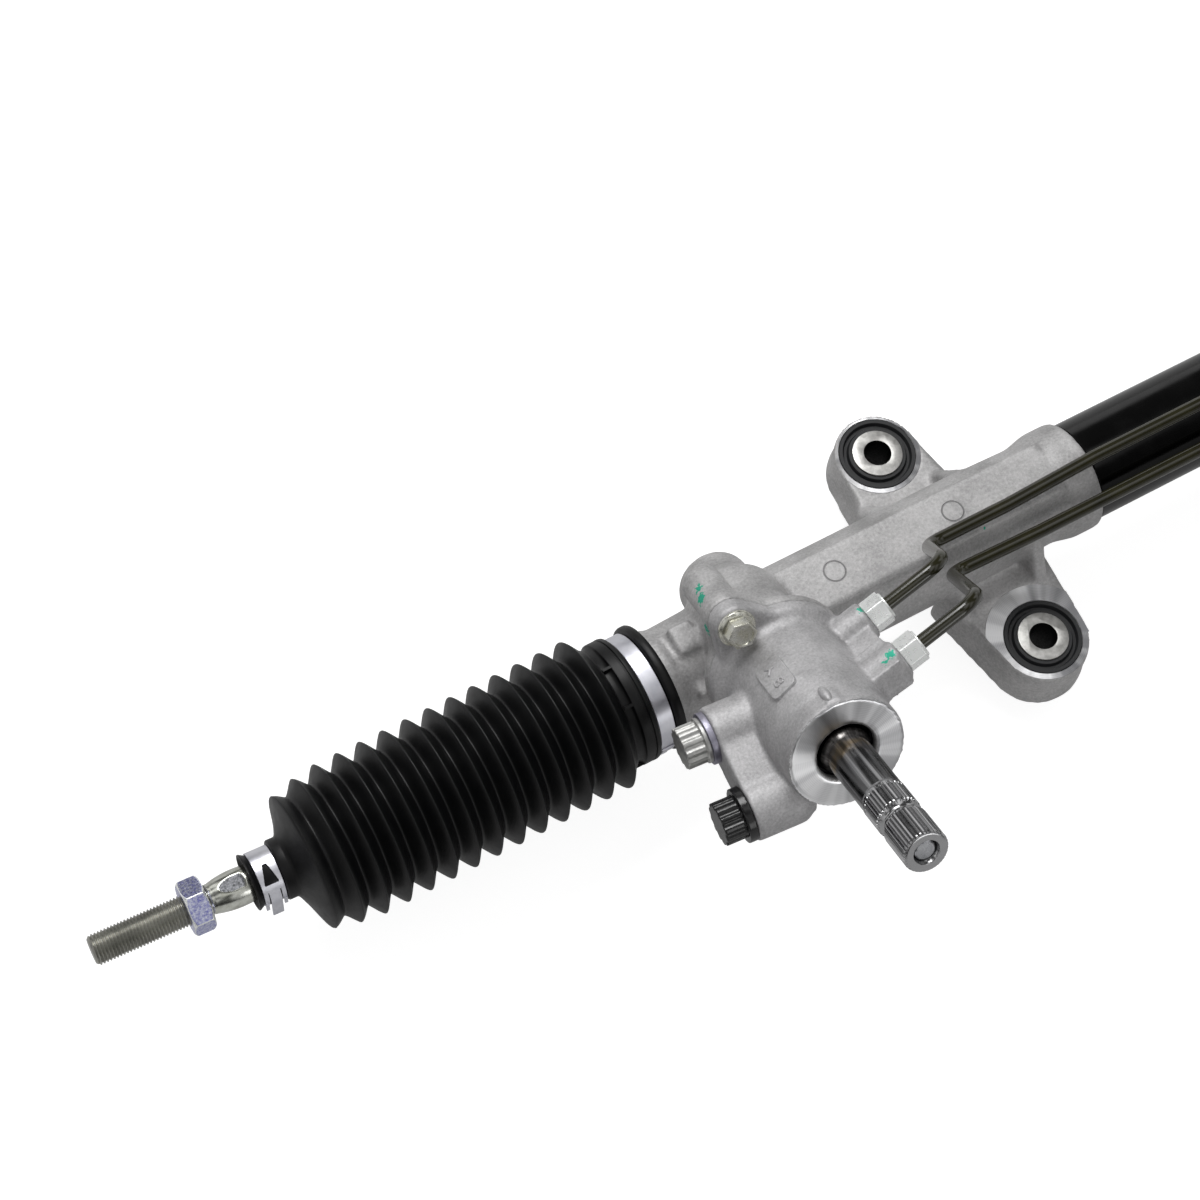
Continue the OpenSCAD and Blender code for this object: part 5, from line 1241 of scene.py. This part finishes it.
def small_clamp(side, end):
    """Band, window, slot and tongue on the small cuff."""
    rod = rod_place(side)
    body = "tie_rod_" + end
    node = "small_clamp_" + end
    place = axis_frame(rod.translation, rod.col[2].xyz, side)
    low = 36.6
    high = 46.5
    mid = (low + high) / 2
    shape = hoop(11.45, 12.25, 0.15, low, high, place, 144)
    mesh = outward(new_mesh("small_clamp_band_" + end, *shape, clamp_steel))
    window = ((-4.6, -0.8), (-4.2, -1.1), (4.2, -3.3), (4.7, -3.0), (4.7, 3.0), (4.2, 3.3),
              (-4.2, 1.1), (-4.6, 0.8))
    slot = ((-4.4, -3), (4.4, -3), (4.4, 3), (-4.4, 3))
    for turn, outline in ((18, window), (78, slot)):
        mesh = cut_window(mesh, turn, [(w, mid + z) for w, z in outline], place)
    smooth_to(mesh, 35)
    new_piece("small_clamp_band_" + end, mesh, body, node)
    points = [turned_to(11.2 + 0.035 * (a - 56), a) for a in range(56, 97, 5)]
    way = (points[-1] - points[-2]).normalized()
    points += [points[-1] + way * k for k in (3, 6, 9, 11)]
    shapes = [strip(points, mid - 2.5, mid + 2.5, 0.8, place)]
    for hook in (mid - 4.2, mid + 4.2):
        points = [turned_to(12.4, a) for a in (92, 98, 104)]
        points.append(points[-1] + Vector((0.6, -3.2)))
        shapes.append(strip(points, hook - 0.75, hook + 0.75, 0.8, place))
    mesh = new_mesh("small_clamp_tongue_" + end, *merged(*shapes), clamp_steel)
    new_piece("small_clamp_tongue_" + end, outward(mesh, 35), body, node)


def large_clamp(side, end):
    """Band, overlap and hook on the large cuff."""
    place = axis_frame(on_rack(side, -500), Vector((side, 0, 0)), side)
    low = 51.5
    high = 59.1
    band_r = 27.85
    points = [turned_to(28.25, a) for a in range(94, 124, 4)]
    points += [turned_to(28.6, 123), turned_to(29.6, 124), turned_to(30.2, 126)]
    shape = merged(hoop(27.05, band_r, 0.2, low, high, place, 180),
                   strip(points, low + 0.8, high - 0.8, 0.7, place))
    mesh = new_mesh("large_clamp_" + end, *shape, clamp_steel)
    new_piece("large_clamp_" + end, outward(mesh, 35), "housing",
              "large_clamps")


# Stainless strip: cool, pale and even, with a soft mirror
clamp_steel = worn_metal("stainless_band", "#cfd0d8", "#e6e6ec", 0.3, 0.38, 14, 6, 0.004)
dress(clamp_steel, "large_clamps", "small_clamp_left", "small_clamp_right")
for side, end in ends:
    small_clamp(side, end)
    large_clamp(side, end)

# Cast-in marks on the valve housing
# A raised pad with two characters, and a nib beside the nose. They are of the housing's own
# aluminium, as the mould left them.
pad_middle = Vector((-523.51, -47.08, 78.56))
pad_right = Vector((5.55, 1.11, 2.99))
pad_down = Vector((-1.31, -9.38, 5.68))
pad_normal = pad_down.cross(pad_right).normalized()
pad_lift = 0.8
corner = 0.28
outline = []
for k in range(48):
    x = math.cos(math.tau * (k + 0.5) / 48)
    y = math.sin(math.tau * (k + 0.5) / 48)
    outline.append((math.copysign(abs(x) ** corner, x), math.copysign(abs(y) ** corner, y)))
rings = [[(pad_middle + (pad_right * x + pad_down * y) * scale + pad_normal * lift) * mm
          for x, y in outline]
         for scale, lift in ((1.0, -3.0), (1.0, pad_lift - 0.25), (0.985, pad_lift - 0.08),
                             (0.95, pad_lift))]
mesh = outward(new_mesh("cast_pad", *skin(rings, caps=True), fine_cast), 50)
new_piece("cast_pad", mesh, "housing", "valve_housing")

# The two characters are strokes, as shares of the pad's right and down directions
strokes = [((-0.28, -0.22), (0.0, -0.42)), ((-0.28, -0.62), (0.0, -0.42)),
           ((0.0, -0.42), (0.32, -0.42))]
for loop_x in (-0.17, 0.17):
    bend = [(0.17 * math.cos(0.7 * k) + loop_x, 0.42 + 0.15 * math.sin(0.7 * k))
            for k in range(10)]
    strokes += zip(bend, bend[1:])
verts = [(pad_middle + pad_right * x + pad_down * y + pad_normal * pad_lift) * mm
         for stroke in strokes for x, y in stroke]
edges = [(i, i + 1) for i in range(0, len(verts), 2)]
mesh = built("pad_characters", verts, edges, sweep_group("raised_stroke", fine_cast),
             Bend=0.0, Radius=0.55 * mm)
new_piece("pad_characters", outward(mesh), "housing", "valve_housing")

nib_place = Matrix.Translation(Vector((-515.2, -68.6, 94.8)) * mm)
nib_place = nib_place @ shaft_axis.to_track_quat("Z", "Y").to_matrix().to_4x4()
profile = [(2.3 * math.sin(a), -5.5 * math.cos(a))
           for a in [math.pi * k / 12 for k in range(1, 12)]]
mesh = new_mesh("cast_nib", *skin(lathed(profile, nib_place, 32), caps=True), fine_cast)
new_piece("cast_nib", outward(mesh), "housing", "valve_housing")
